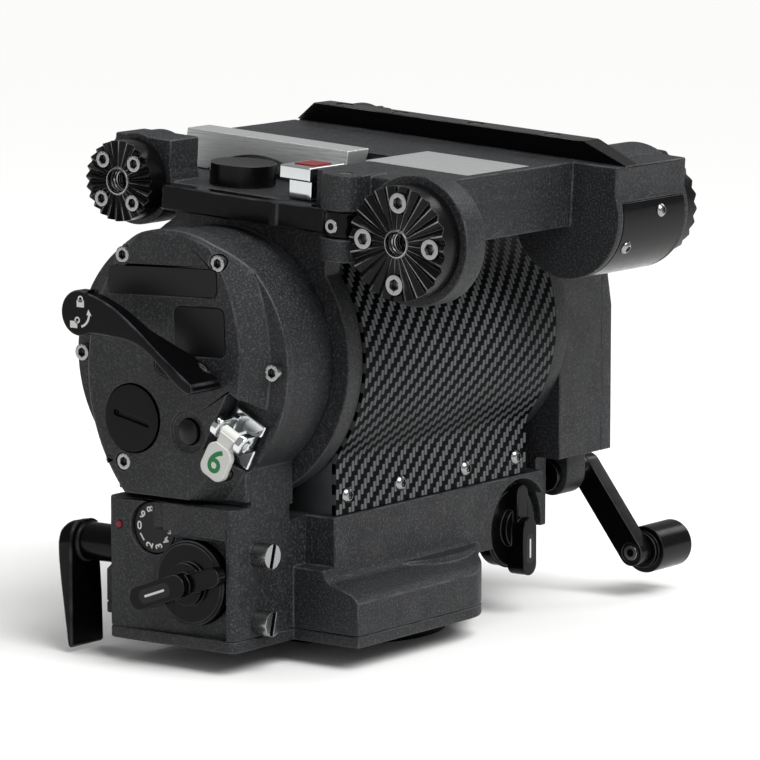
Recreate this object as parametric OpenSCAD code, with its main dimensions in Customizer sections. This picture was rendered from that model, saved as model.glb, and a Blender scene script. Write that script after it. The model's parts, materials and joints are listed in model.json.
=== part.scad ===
// Fluid video head: pan base, tilt unit under a carbon cover, and a tilting camera platform.
// X runs along the tilt axis, +Y to the front, +Z up. The origin is on the pan axis, under the foot.

/* [Foot] */
// Height of the round foot below the body
foot_h = 10; // [8:0.5:14]
// Radius of the round foot
foot_r = 45; // [42:0.5:46]
// Bolt circle of the foot
foot_pcd = 66; // [56:1:72]
// Tap drill radius of the foot bolts
foot_bolt_r = 3.4; // [2.5:0.1:4]
// Tap drill radius of the 3/8 inch camera threads
thread_r = 3.97; // [3.2:0.01:4.8]

/* [Body] */
// Half of the width over the two side covers
half_w = 120.2; // [118:0.2:124]
// Thickness of each side tower with its cover
tower_t = 40.2; // [39:0.2:42]
// Half depth of the left column
column_half_d = 33.5; // [32:0.5:36]
// Thickness of the bottom plate
plate_t = 5; // [4:0.5:6]
// Half depth of the lower block
block_half_d = 67.3; // [64:0.1:70]
// Height where the lower block turns in to its ledge
ledge_h = 22; // [19:0.5:23]
// Half depth of the upper block
upper_half_d = 49; // [48:0.5:52]
// Height of the upper block
upper_h = 52; // [50:0.5:53]
// Height of the tilt axis above the body's underside
axis_h = 118.2; // [116:0.2:122]
// Radius of the pan housing
pan_r = 58; // [57:0.5:60]
// Wall between the pan unit and the upper block's faces
pan_wall = 5; // [4:0.5:6]

/* [Tilt unit] */
// Outer radius of the carbon cover
drum_r = 63; // [61:0.5:63.5]
// Thickness of the carbon sheet
sheet_t = 2; // [1:0.25:3]
// Radius of the platform cheeks
cheek_r = 62; // [58:0.5:63]
// Thickness of the platform cheeks
cheek_t = 10; // [8:0.5:11]
// Radius of the left tilt housing
housing_r = 54; // [52:0.5:55]
// Thickness of the side covers
cover_t = 12.2; // [11.6:0.1:13]
// Bolt circle of the side cover
cover_pcd = 100; // [97:0.5:101]
// Radius of the tilt axle
axle_r = 9; // [7:0.5:10]

/* [Platform] */
// Backward lean of the platform as it rests
rest_tilt = 3.25; // [0:0.25:5]
// Height of the deck above the tilt axis
deck_h = 82.5; // [81:0.5:85]
// Front edge of the deck, ahead of the tilt axis
deck_front = 56.5; // [54:0.5:60]
// Rear edge of the deck, behind the tilt axis
deck_rear = 95; // [93:0.5:98]
// Half of the width over the rosette faces
rosette_half_w = 93; // [92:0.5:96]
// Radius of the rear rosettes
rear_rosette_r = 23.6; // [22:0.2:24]
// Radius of the front rosettes
front_rosette_r = 17.1; // [16:0.1:18]
// Number of teeth on a rosette
rosette_teeth = 24; // [18:1:30]
// Inner face of the fixed guide rail
rail_x = 36; // [33:0.5:38]
// Height of the guide rail above the deck
rail_h = 8.5; // [6:0.5:10]
// Inner edge of the clamp jaw
jaw_x = 25; // [22:0.5:27]
// Width of the clamp jaw
jaw_w = 15; // [12:0.5:16]
// Opening travel of the clamp jaw
jaw_travel = 4; // [2:0.5:4]

/* [Controls] */
// Radius of the drag knobs
knob_r = 17.5; // [16:0.25:18]
// Radius of the numbered dial
dial_r = 10.75; // [10:0.25:11.5]
// Distance between the pan knob and its dial, along Y and along Z
dial_offset = [21, 20.7];
// Length of the crank arm between centres
crank_len = 45; // [40:1:47]
// Radius of the crank grip
grip_r = 10.5; // [8:0.5:11]
// Length of the crank grip
grip_len = 26; // [18:1:27]
// Length of the release lever from its pin
lever_len = 93; // [80:1:93]

/* [Fits] */
// Gap between pieces that move past each other
run_gap = 0.5; // [0.4:0.05:0.6]
// Radial clearance of shafts in their bores
shaft_fit = 0.05; // [0.03:0.01:0.08]
// Gap of pieces that are fixed together
seat_gap = 0.1; // [0.05:0.05:0.2]

/* [Hidden] */
$fn = 96;
eps = 0.01;
far = 400;

// Stack along the tilt axis, from the outside in
tower_in = half_w - tower_t;
cover_seam = half_w - cover_t;
cheek_out = tower_in - run_gap;
cheek_in = cheek_out - cheek_t;
drum_half_w = cheek_in - run_gap;
tower_wall = 8;
bearing_w = 6.5;
bearing_r = axle_r + 8;

// Column, pan knob and dial
column_x = half_w - tower_t / 2;
face_cut = 5.2;
brow_h = 60;
brow_bottom = 46;
knob_pos = [-10.6, 27.6];
dial_pos = knob_pos + dial_offset;
knob_floor = half_w - 6.7;
dial_floor = half_w - 5;
dial_t = 2.2;
gear_x = half_w - 30;
gear_t = 4;
gear_pitch_r = norm(dial_offset) / 2;
gear_teeth = 24;
index_pos = [27.6, 48.3];
column_screw_x = half_w - 16.7;
column_screw_z = [11.2, 39.5];

// Lower block outline
block_right = 24;
block_corner_r = 24;
ledge_fillet = 6;

// Pan unit, from the bottom up
flange_top = plate_t - 1;
spindle_r = [22, 16, 14];
lower_bearing = [7.5, 13.5];
cup_z = [14.5, 29];
brake_z = [30.5, 34.5];
roof_z = 41;
upper_bearing = [roof_z, 47];
pan_cavity_r = upper_half_d - pan_wall;
brake_r = pan_cavity_r - 5;
carrier_r = spindle_r[0] + 12;
upper_bearing_r = spindle_r[2] + 10;

// Pan brake lever at the front of the column
pan_lever_x = -(half_w - 12.2);
pan_lever_z = 37;
pan_lever_y = 53.5;
pan_lever_t = 7.3;
shoe_y = [20, 26];
shoe_z = [30, 35];

// Side cover furniture, as places on the cover in Y and Z
cap_pos = [0, axis_h] + [0.6247, -0.7809] * (cover_pcd / 2 - 18.62);
cap_r = 14;
button_pos = [-9.4, 90.6];
button_r = 5;
yoke_pos = [-31, 86];
yoke_turn = 28;
screw_angles = [for (i = [0:5]) i * 60];
screw_lift = [0, 1, 1, 0, 0.4, 1] * (cover_t - 8.7);
cover_r = max(housing_r, cover_pcd / 2 + 4);
tag_hinge = [half_w + 1, 6];

// Tilt brake lever
brake_len = [-28, 37.4];
brake_turn = 29.5;
brake_out = half_w + 20;

// Right tower
tower_half_d = 57.5;
tower_z = [57, 143.5];
tower_seam = half_w - 8.2;
crank_y = -40;
crank_z = 46.5;
crank_shaft_r = 4;
arm_x = half_w + 1;
arm_t = 8;
arm_turn = 52.6;
lug_x = [98, tower_seam - seat_gap];
cam_wheel_r = 19;
crown_x = (lug_x[0] + lug_x[1]) / 2;

// Tilt knob
tilt_knob = [62.5, 28.6];
tilt_knob_y = -(upper_half_d - 12);

// Drum housing inside the carbon cover
drum_fit = 0.3;
drum_housing_r = drum_r - sheet_t - drum_fit;
flange_y = 47.3;
flange_bottom = upper_h + run_gap;
cover_screw_x = [-61, -23.6, 23.6, 61];
cover_screw_z = 60;

// Platform, in its own frame about the tilt axis
deck_clear_r = drum_r + 1.5;
floor_bottom = deck_clear_r + 0.3;
tray_top = floor_bottom + 3;
boss_face = rosette_half_w - 12;
deck_half_w = boss_face - 1.8;
rear_pos = [-92.6, 59.2];
rear_boss_r = 27;
pin_pos = [-(rosette_half_w - 9), -59];
front_pos = [pin_pos[1] + lever_len + 18.9, 66.9];
front_boss_r = 19.5;
pin_r = 3;
knuckle_r = 9.5;
lever_z = [57.5, 68];
cam_pos = [-60, 12];
cam_r = 14;
catch_pos = [-69, -31];
wear_size = [44, 52];
wear_pos = [-20.5, -64.5];
jaw_y = [-26, 60];
web_y = [-48, 32];

// Places a piece that is drawn from the body's underside
module lift() { translate([0, 0, foot_h]) children(); }

// Places a piece that is drawn about the tilt axis
module at_axis() { lift() translate([0, 0, axis_h]) children(); }

// Places a piece that is drawn in the platform's own level frame
module on_platform() { at_axis() rotate([rest_tilt, 0, 0]) children(); }

// Cylinder along X between two places
module xcyl(r, x0, x1) { translate([x0, 0, 0]) rotate([0, 90, 0]) cylinder(h = x1 - x0, r = r); }

// Cylinder along Y between two places
module ycyl(r, y0, y1) { translate([0, y1, 0]) rotate([90, 0, 0]) cylinder(h = y1 - y0, r = r); }

// Points of a smooth curve through the given points
function curve(p, n) = [
  for (i = [0:len(p) - 2])
    let (a = p[max(i - 1, 0)], b = p[i], c = p[i + 1], d = p[min(i + 2, len(p) - 1)])
      for (j = [0:(i == len(p) - 2 ? n : n - 1)])
        let (t = j / n)
          b + (c - a) / 2 * t + (a * 2 - b * 5 + c * 4 - d) / 2 * t * t + (b * 3 - a - c * 3 + d) / 2 * t * t * t
];

// Box between two corners
module box(low, high) { translate(low) cube(high - low); }

// Ring with a groove on both faces, as a ball bearing shows
module bearing(r_in, r_out, h) {
  mid = (r_in + r_out) / 2;
  difference() {
    cylinder(h = h, r = r_out);
    translate([0, 0, -1]) cylinder(h = h + 2, r = r_in);
    for (z = [-1, h - 1])
      translate([0, 0, z])
        difference() {
          cylinder(h = 2, r = mid + 1.2);
          translate([0, 0, -1]) cylinder(h = 4, r = mid - 1.2);
        }
  }
}

// Rectangle with round corners
module round_rect(w, d, r) {
  square([w - 2 * r, d], center = true);
  square([w, d - 2 * r], center = true);
  for (x = [-1, 1], y = [-1, 1])
    translate([x * (w / 2 - r), y * (d / 2 - r)]) circle(r = r);
}

// Bar with round ends between two points of a plane
module round_bar(a, b, r) {
  v = b - a;
  translate(a) circle(r = r);
  translate(b) circle(r = r);
  translate(a) rotate(atan2(v[1], v[0])) translate([0, -r]) square([norm(v), 2 * r]);
}

// Socket cap screw: its head stands on z = 0 and its shank goes down
module cap_screw(head_r, head_h, shank_r, shank_l) {
  difference() {
    cylinder(h = head_h, r = head_r);
    translate([0, 0, head_h * 0.4]) cylinder(h = head_h, r = head_r * 0.58, $fn = 6);
  }
  translate([0, 0, -shank_l]) cylinder(h = shank_l + eps, r = shank_r);
}

// Button head screw: its dome stands on z = 0 and its shank goes down
module button_screw(head_r, head_h, shank_r, shank_l) {
  ball_r = (head_r * head_r + head_h * head_h) / (2 * head_h);
  difference() {
    intersection() {
      cylinder(h = head_h, r = head_r);
      translate([0, 0, head_h - ball_r]) sphere(r = ball_r);
    }
    translate([0, 0, head_h * 0.3]) cylinder(h = head_h, r = head_r * 0.5, $fn = 6);
  }
  translate([0, 0, -shank_l]) cylinder(h = shank_l + eps, r = shank_r);
}

// Spur gear outline with straight-flanked teeth
module gear_2d(pitch_r, teeth, phase) {
  pitch = 360 / teeth;
  root_r = pitch_r - 1.3;
  tip_r = pitch_r + 0.9;
  circle(r = root_r);
  for (i = [0:teeth - 1])
    rotate(phase + i * pitch)
      polygon([
        [root_r - 0.5, -root_r * sin(pitch * 0.22)], [tip_r, -tip_r * sin(pitch * 0.09)],
        [tip_r, tip_r * sin(pitch * 0.09)], [root_r - 0.5, root_r * sin(pitch * 0.22)]
      ]);
}

// Outline of the whole base, seen from above
module base_outline() {
  translate([-column_x, 0]) round_rect(tower_t, 2 * column_half_d, 4);
  translate([-tower_in - 8, -column_half_d]) square([20, 2 * column_half_d]);
  block_outline();
  circle(r = pan_r);
}

// Outline of the lower block
module block_outline() {
  c = block_corner_r;
  difference() {
    translate([-tower_in, -block_half_d]) square([tower_in + block_right, 2 * block_half_d]);
    for (s = [-1, 1])
      translate([block_right - c, s * (block_half_d - c)])
        difference() {
          translate([0, s > 0 ? 0 : -c - 1]) square([c + 1, c + 1]);
          circle(r = c);
        }
  }
}

// The socket screws of the rear and front rosettes, as angles and bolt circles
rear_angles = [0, 90, 180, 270];
front_angles = [45, 135, 225, 315];
rear_pcd = 33.5;
front_pcd = 23.4;
rear_head = [4.25, 5, 2.5];
front_head = [3.5, 4, 2];
rosette_t = 12;

// Rosette with radial teeth on its top face
module rosette(r, pcd, angles, head) {
  depth = 2.2;
  half_pitch = r * sin(180 / rosette_teeth) * 0.92;
  flat_r = thread_r + 2;
  difference() {
    cylinder(h = rosette_t, r = r);
    for (i = [0:rosette_teeth - 1])
      rotate((i + 0.5) * 360 / rosette_teeth)
        translate([0, 0, rosette_t])
          rotate([0, atan(depth / r), 0])
            rotate([90, 0, 90])
              translate([0, 0, flat_r])
                linear_extrude(r)
                  polygon([[-half_pitch * 2, depth * 2], [0, 0], [half_pitch * 2, depth * 2]]);
    translate([0, 0, -1]) cylinder(h = rosette_t + 2, r = thread_r);
    for (a = angles)
      rotate(a)
        translate([pcd / 2, 0, -1]) {
          cylinder(h = rosette_t + 2, r = head[2] + seat_gap);
          translate([0, 0, rosette_t - head[1] + 1]) cylinder(h = far, r = head[0] + 0.3);
        }
  }
}

// Screws of one rosette
module rosette_bolts(pcd, angles, head) {
  for (a = angles)
    rotate(a)
      translate([pcd / 2, 0, rosette_t - head[1]])
        cap_screw(head[0], head[1], head[2], 16);
}

// Places rosettes on both sides of the platform: their backs lie on the bosses, their teeth face out
module rosette_sides(pos) {
  for (s = [-1, 1])
    translate([s * boss_face, pos[0], pos[1]])
      rotate([0, s * 90, 0])
        rotate(s > 0 ? 180 : 0)
          children();
}

// Round foot that bolts to the tripod
module mount_flange() {
  color("#2b2b2d")
    difference() {
      union() {
        cylinder(h = 2, r1 = foot_r - 1, r2 = foot_r);
        translate([0, 0, 2 - eps]) cylinder(h = foot_h + flange_top - 2 + eps, r = foot_r);
      }
      translate([0, 0, -1]) cylinder(h = foot_h + flange_top + 2, r = thread_r);
      for (a = [45:90:315])
        rotate(a) translate([foot_pcd / 2, 0, -1]) cylinder(h = 13, r = foot_bolt_r);
    }
}

// Hollow stepped spindle on the foot
module pan_spindle() {
  steps = [flange_top, cup_z[0] + 1, brake_z[0] - 0.5, upper_bearing[1] + 0.5];
  color("#b9bcc0")
    lift()
      difference() {
        for (i = [0:2])
          translate([0, 0, steps[i]]) cylinder(h = steps[i + 1] - steps[i], r = spindle_r[i]);
        translate([0, 0, flange_top - 1]) cylinder(h = far, r = 6);
      }
}

module pan_bearing_lower() {
  color("#c8cacd")
    lift()
      translate([0, 0, lower_bearing[0]])
        bearing(spindle_r[0] + shaft_fit, carrier_r, lower_bearing[1] - lower_bearing[0]);
}

module pan_bearing_upper() {
  color("#c8cacd")
    lift()
      translate([0, 0, upper_bearing[0]])
        bearing(spindle_r[2] + shaft_fit, upper_bearing_r, upper_bearing[1] - upper_bearing[0]);
}

// Ring that holds the lower bearing in the pan housing
module pan_bearing_carrier() {
  color("#55575a")
    lift()
      difference() {
        translate([0, 0, lower_bearing[0]])
          cylinder(h = lower_bearing[1] - lower_bearing[0], r = pan_cavity_r - seat_gap);
        cylinder(h = far, r = carrier_r + seat_gap);
      }
}

// Places of the drag fins, as mean radii
drag_fins = [24, 31];

// Finned drag rotor on the spindle
module pan_drag_rotor() {
  color("#9a9da1")
    lift()
      difference() {
        union() {
          translate([0, 0, cup_z[0] + 1.5]) cylinder(h = 3, r = pan_cavity_r - 6.5);
          translate([0, 0, cup_z[0] + 1.5]) cylinder(h = 8, r = spindle_r[1] + 4);
          for (r = drag_fins)
            translate([0, 0, cup_z[0] + 1.5])
              difference() {
                cylinder(h = 8, r = r + 1);
                translate([0, 0, -1]) cylinder(h = far, r = r - 1);
              }
        }
        cylinder(h = far, r = spindle_r[1] + eps);
      }
}

// Cup with fins that stand between those of the rotor
module pan_drag_cup() {
  roof = cup_z[1] - 4;
  color("#6a6d70")
    lift()
      difference() {
        translate([0, 0, cup_z[0]])
          cylinder(h = cup_z[1] - cup_z[0], r = pan_cavity_r - seat_gap);
        difference() {
          translate([0, 0, cup_z[0] - 1]) cylinder(h = roof - cup_z[0] + 1, r = pan_cavity_r - 5);
          for (r = drag_fins)
            translate([0, 0, cup_z[0] + 6])
              difference() {
                cylinder(h = far, r = r + 4.5);
                translate([0, 0, -1]) cylinder(h = far * 2, r = r + 2.5);
              }
        }
        cylinder(h = far, r = spindle_r[1] + 1);
      }
}

// Brake disc on the spindle
module pan_brake_disc() {
  color("#a8abae")
    lift()
      difference() {
        union() {
          translate([0, 0, brake_z[0]]) cylinder(h = brake_z[1] - brake_z[0], r = brake_r);
          translate([0, 0, brake_z[0] - 0.5]) cylinder(h = 8, r = spindle_r[2] + 7);
        }
        cylinder(h = far, r = spindle_r[2] + eps);
      }
}

// Push rod and shoe of the pan brake
module pan_brake_shoe() {
  color("#8a6f4a")
    lift()
      difference() {
        box([pan_lever_x + 5.9, shoe_y[0], shoe_z[0]], [-brake_r * 0.7, shoe_y[1], shoe_z[1]]);
        translate([0, 0, shoe_z[0] - 1]) cylinder(h = 10, r = brake_r + run_gap);
      }
}

// Shape of the ledge between the lower and the upper block, drawn in Y and Z for one side
module ledge_side() {
  f = ledge_fillet;
  rise = ledge_h + 3;
  difference() {
    polygon([
      [0, plate_t], [block_half_d, plate_t], [block_half_d, ledge_h - 3], [block_half_d - 3, ledge_h],
      [upper_half_d + f, rise], [upper_half_d, rise + f], [upper_half_d, upper_h], [0, upper_h]
    ]);
    translate([upper_half_d + f, rise + f]) circle(r = f);
  }
}

// Profile of both blocks, extruded along X
module block_profile(x0, x1) {
  translate([x0, 0, 0])
    rotate([90, 0, 90])
      linear_extrude(x1 - x0) {
        ledge_side();
        mirror([1, 0]) ledge_side();
      }
}

// The main casting: column, tilt housing and both blocks
module base_casting() {
  upper_left = tower_in - 8;
  color("#3c3d3f")
    lift()
      difference() {
        union() {
          translate([0, 0, plate_t]) linear_extrude(brow_h - plate_t)
            translate([-column_x, 0]) round_rect(tower_t, 2 * column_half_d, 4);
          box([-tower_in - 4, -column_half_d, plate_t], [-upper_left + 4, column_half_d, upper_h]);
          box([-cover_seam, -column_half_d, brow_h - 2], [-tower_in, column_half_d, axis_h]);
          translate([0, 0, axis_h]) xcyl(housing_r, -cover_seam, -tower_in);
          if (cover_r > housing_r) translate([0, 0, axis_h]) xcyl(cover_r, -cover_seam, -cover_seam + 10);
          intersection() {
            block_profile(-tower_in, block_right);
            translate([0, 0, plate_t]) linear_extrude(ledge_h + ledge_fillet + 3 - plate_t) block_outline();
          }
          box([-upper_left, -upper_half_d, ledge_h], [tower_in - seat_gap, upper_half_d, upper_h]);
          translate([0, 0, plate_t]) cylinder(h = ledge_h, r = pan_r);
        }
        // pan unit
        translate([0, 0, plate_t - 1]) cylinder(h = roof_z - plate_t + 1, r = pan_cavity_r);
        cylinder(h = upper_bearing[1], r = upper_bearing_r + seat_gap);
        cylinder(h = upper_bearing[1] + 1, r = upper_bearing_r - 4);
        // column hollow, brake rod way and lever pocket
        box([-half_w + 14, -column_half_d + 6, plate_t - 1], [-tower_in - 4, column_half_d - 6, brow_h + 6]);
        box([-tower_in - 5, shoe_y[0] - 1, shoe_z[0] - 1], [-brake_r * 0.8, shoe_y[1] + 1, shoe_z[1] + 1]);
        translate([pan_lever_x, 0, pan_lever_z]) ycyl(3.5 + shaft_fit, shoe_y[0] - 4, far);
        box([pan_lever_x - 5.5, shoe_y[0] - 2.5, pan_lever_z - 6],
          [pan_lever_x + 9, column_half_d - 6, pan_lever_z + 6]);
        // slanted face with the knob and dial
        column_face_cut();
        translate([0, knob_pos[0], knob_pos[1]]) {
          xcyl(knob_r + run_gap, -far, -knob_floor);
          xcyl(4 + shaft_fit, -far, -gear_x);
        }
        translate([0, dial_pos[0], dial_pos[1]]) {
          xcyl(dial_r + run_gap, -dial_floor - dial_t - run_gap, -dial_floor + run_gap);
          // window in the face, which leaves a quarter of the dial covered
          difference() {
            xcyl(dial_r + run_gap, -far, -dial_floor - dial_t);
            box([-far, -far, 0], [far, 0, far]);
          }
          xcyl(3 + shaft_fit, -dial_floor - 1, -gear_x);
        }
        translate([0, index_pos[0], index_pos[1]]) xcyl(1.6, -far, -half_w + 1.6);
        // tilt brake chamber and bearing seat
        translate([0, 0, axis_h]) {
          xcyl(housing_r - 8, -far, -tower_in - tower_wall);
          xcyl(bearing_r + seat_gap, -far, -tower_in + 1);
        }
        for (a = screw_angles)
          translate([0, 0, axis_h]) rotate([a, 0, 0])
            translate([0, cover_pcd / 2, 0]) xcyl(2 + seat_gap, -cover_seam - 1, -cover_seam + 9);
        // tilt knob pocket and shaft
        translate([tilt_knob[0], 0, tilt_knob[1]]) {
          ycyl(knob_r + 4, -far, tilt_knob_y);
          ycyl(4 + shaft_fit, -far, tilt_knob_y + 13);
        }
        for (z = column_screw_z)
          translate([-column_screw_x, 0, z]) ycyl(3 + seat_gap, -far, -column_half_d + 7);
        for (p = plate_screws)
          translate([p[0], p[1], -1]) cylinder(h = 10.5, r = 2 + seat_gap);
      }
}

// The slanted field of the column's left face, under the brow
module column_face_cut() {
  d = column_half_d;
  corner = d - 4.5;
  brow_end = 4;
  for (zone = [[-corner, plate_t + 0.01, brow_bottom], [brow_end, brow_bottom - 1, brow_h + 3]])
    translate([0, 0, zone[1]])
      linear_extrude(zone[2] - zone[1])
        polygon([
          [-half_w - 1, d + 1], [-half_w, d + 1], [-half_w, d],
          [-half_w + face_cut * (d - zone[0]) / (2 * d), zone[0]], [-half_w - 1, zone[0]]
        ]);
}

// Screws of the bottom plate, as places in X and Y
plate_screws = [
  for (s = [-1, 1], p = [[-half_w + 7, column_half_d - 6], [-tower_in + 14, block_half_d - 9],
    [block_right - 18, block_half_d - 7]]) [p[0], s * p[1]]
];

module bottom_plate() {
  color("#39393b")
    lift()
      difference() {
        linear_extrude(plate_t) base_outline();
        translate([0, 0, -1]) cylinder(h = plate_t + 2, r = foot_r + 1);
        for (p = plate_screws)
          translate([p[0], p[1], -1]) {
            cylinder(h = plate_t + 2, r = 2 + seat_gap);
            cylinder(h = 3.5, r = 3.8);
          }
      }
}

module bottom_plate_screws() {
  color("#c9c9c6")
    lift()
      for (p = plate_screws)
        translate([p[0], p[1], 2.5]) rotate([180, 0, 0]) cap_screw(3.5, 2.3, 2, 6.5);
}

// The two large slotted screws on the column
module column_screws() {
  color("#c9c9c6")
    lift()
      for (z = column_screw_z)
        translate([-column_screw_x, -column_half_d, z])
          difference() {
            union() {
              ycyl(5.3, -7.5, 0);
              ycyl(3, -1, 6.5);
            }
            rotate([0, 15, 0]) box([-1, -9, -8], [1, -4.5, 8]);
          }
}

// Round cover of the tilt housing
module side_cover() {
  color("#3c3d3f")
    at_axis()
      difference() {
        union() {
          side_cover_blank(-cover_seam - 4, -cover_seam, 0);
          intersection() {
            side_cover_blank(-half_w, -cover_seam, 1.5);
            translate([0, 40, 3]) cover_bevel(77, 14);
            translate([0, -32, -6]) cover_bevel(75, 9);
          }
        }
        xcyl(6 + shaft_fit, -far, far);
        for (i = [0:5])
          rotate([screw_angles[i], 0, 0])
            translate([0, cover_pcd / 2, 0]) {
              xcyl(2 + seat_gap, -far, far);
              xcyl(3.8, -far, -cover_seam - 4 - screw_lift[i]);
            }
        translate([0, cap_pos[0], cap_pos[1] - axis_h]) xcyl(cap_r + run_gap, -far, -cover_seam - 3);
        translate([0, button_pos[0], button_pos[1] - axis_h]) {
          xcyl(button_r + run_gap, -far, -cover_seam - 3);
          xcyl(button_r + 3.5, -far, -half_w + 1.5);
        }
        yoke_place() box([-half_w - 20, -10, -8], [-cover_seam - 2, 11, 20]);
        strip_place() plate_blank(0, seat_gap);
        badge_place() plate_blank(1, seat_gap);
      }
}

// Disc of the cover with its straight lower end, between two X values
module side_cover_blank(x0, x1, edge) {
  r = cover_r + 1.5;
  low = brow_h + 2 - axis_h;
  xcyl(r, x0 + edge, x1);
  translate([x0, 0, 0]) rotate([0, 90, 0]) cylinder(h = edge, r1 = r - edge, r2 = r);
  box([x0, -column_half_d, low], [x1, column_half_d, 0]);
}

// Cone that bevels the cover's face away towards its rim
module cover_bevel(r, slope) {
  translate([-half_w, 0, 0]) rotate([0, 90, 0]) cylinder(h = cover_t, r1 = r, r2 = r + slope);
}

// Sockets of the blank plates on the cover
module strip_place() { translate([0, 3.5, 34]) rotate([-2, 0, 0]) children(); }
module badge_place() { translate([0, -16, 14.5]) rotate([-2, 0, 0]) children(); }

// Blank plate, the strip or the badge, with room added round it
module plate_blank(kind, room) {
  size = kind == 0 ? [57, 11.5, 3] : [26, 20, 3];
  translate([-half_w - (room > 0 ? 1 : 0), 0, 0])
    rotate([90, 0, 90])
      linear_extrude(1.2 + (room > 0 ? 1 : 0))
        round_rect(size[0] + 2 * room, size[1] + 2 * room, size[2]);
}

module name_strip() { color("#101011") at_axis() strip_place() plate_blank(0, 0); }
module badge_plate() { color("#101011") at_axis() badge_place() plate_blank(1, 0); }

module side_cover_screws() {
  color("#c9c9c6")
    at_axis()
      for (i = [0:5])
        rotate([screw_angles[i], 0, 0])
          translate([-cover_seam - 4 - screw_lift[i], cover_pcd / 2, 0])
            rotate([0, -90, 0])
              cap_screw(3.5, 4, 2, 11);
}

// Screw cap of the battery, with a coin slot
module battery_cap() {
  color("#0c0c0d")
    lift()
      translate([0, cap_pos[0], cap_pos[1]])
        difference() {
          xcyl(cap_r, -half_w - 0.6, -cover_seam - 3 - seat_gap);
          rotate([-78, 0, 0]) box([-half_w - 1, -1.2, -9.5], [-half_w + 1.2, 1.2, 9.5]);
        }
}

// Push button of the level light
module light_button() {
  color("#141415")
    lift()
      translate([0, button_pos[0], button_pos[1]]) {
        xcyl(button_r, -half_w + 0.2, -cover_seam - 3 - 2);
        translate([-half_w + 0.2 + eps, 0, 0])
          intersection() {
            translate([8, 0, 0]) sphere(r = 9.4);
            xcyl(button_r, -2, 1);
          }
      }
}

// Frame of the number tag: X out of the cover, Z along the tag
module yoke_place() {
  translate([0, yoke_pos[0], yoke_pos[1] - axis_h]) rotate([yoke_turn, 0, 0]) children();
}

// Chrome yoke with two ears
module index_yoke() {
  floor_x = -cover_seam - 2 - seat_gap;
  color("#d4d6d8")
    at_axis()
      yoke_place()
        difference() {
          union() {
            box([floor_x - 3, -8, -7], [floor_x, 9, 14]);
            for (y = [-8, 5.5])
              translate([0, y, tag_hinge[1]])
                rotate([90, 0, 180])
                  linear_extrude(3.5) round_bar([-floor_x + 6, 0], [tag_hinge[0], 0], 4.5);
          }
          translate([-tag_hinge[0], 0, tag_hinge[1]]) ycyl(1.5 + shaft_fit, -20, 20);
        }
}

// Number tag on its pin between the ears
module index_tag() {
  color("#e8e8e6")
    at_axis()
      yoke_place()
        translate([-tag_hinge[0], 0, tag_hinge[1]]) {
          ycyl(1.5, -8, 9);
          ycyl(2.6, -4, 5);
          translate([-3.5, 0.5, -12.5])
            rotate([90, 0, 90]) linear_extrude(3) round_rect(13, 15, 4);
          box([-3, -3.5, -6], [0, 4.5, 0]);
        }
}

module index_dot() {
  color("#c02020")
    lift()
      translate([0, index_pos[0], index_pos[1]]) xcyl(1.5, -half_w + 0.2, -half_w + 1.6);
}

// Numbered dial of the pan drag
module fluid_dial() {
  color("#0c0c0d")
    lift()
      translate([0, dial_pos[0], dial_pos[1]]) {
        xcyl(dial_r, -dial_floor - dial_t, -dial_floor);
        xcyl(3, -dial_floor - eps, -gear_x + gear_t + 1);
      }
}

module dial_gear() {
  color("#b08d4a") lift() translate([-gear_x, dial_pos[0], dial_pos[1]]) pan_gear(3, true);
}

module pan_knob_gear() {
  color("#b08d4a") lift() translate([-gear_x, knob_pos[0], knob_pos[1]]) pan_gear(4, false);
}

// Gear of the dial drive; the dial's teeth stand in the knob's gaps
module pan_gear(bore_r, driven) {
  line = atan2(dial_offset[1], dial_offset[0]);
  phase = driven ? line + 180 : line + 180 / gear_teeth;
  rotate([90, 0, 90])
    linear_extrude(gear_t)
      difference() {
        gear_2d(gear_pitch_r, gear_teeth, phase);
        circle(r = bore_r + eps);
      }
}

// Round drag knob with a finger bar: its back lies on z = 0 and its shaft goes down
module drag_knob(shaft_l, bar_from, bar_to) {
  disc_h = 7.5;
  cylinder(h = disc_h - 1, r = knob_r);
  translate([0, 0, disc_h - 1 - eps]) cylinder(h = 1, r1 = knob_r, r2 = knob_r - 1);
  translate([0, 0, -shaft_l]) cylinder(h = shaft_l + eps, r = 4);
  translate([0, 0, disc_h - eps]) cylinder(h = 3, r = 9);
  translate([0, 0, disc_h + 0.5]) {
    linear_extrude(5) round_bar(bar_from, bar_to, 4);
    linear_extrude(9) round_bar([0, 0], bar_to, 5);
  }
}

module pan_fluid_knob() {
  color("#0c0c0d")
    lift()
      translate([-knob_floor - 0.3, knob_pos[0], knob_pos[1]])
        rotate([0, -90, 0])
          rotate(-90)
            drag_knob(knob_floor + 0.3 - gear_x + gear_t + 1, [16, 5], [-19, -7]);
}

module tilt_fluid_knob() {
  color("#0c0c0d")
    lift()
      translate([tilt_knob[0], tilt_knob_y - 0.3, tilt_knob[1]])
        rotate([90, 0, 0])
          drag_knob(12, [0, 15], [0, -15.5]);
}

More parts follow.
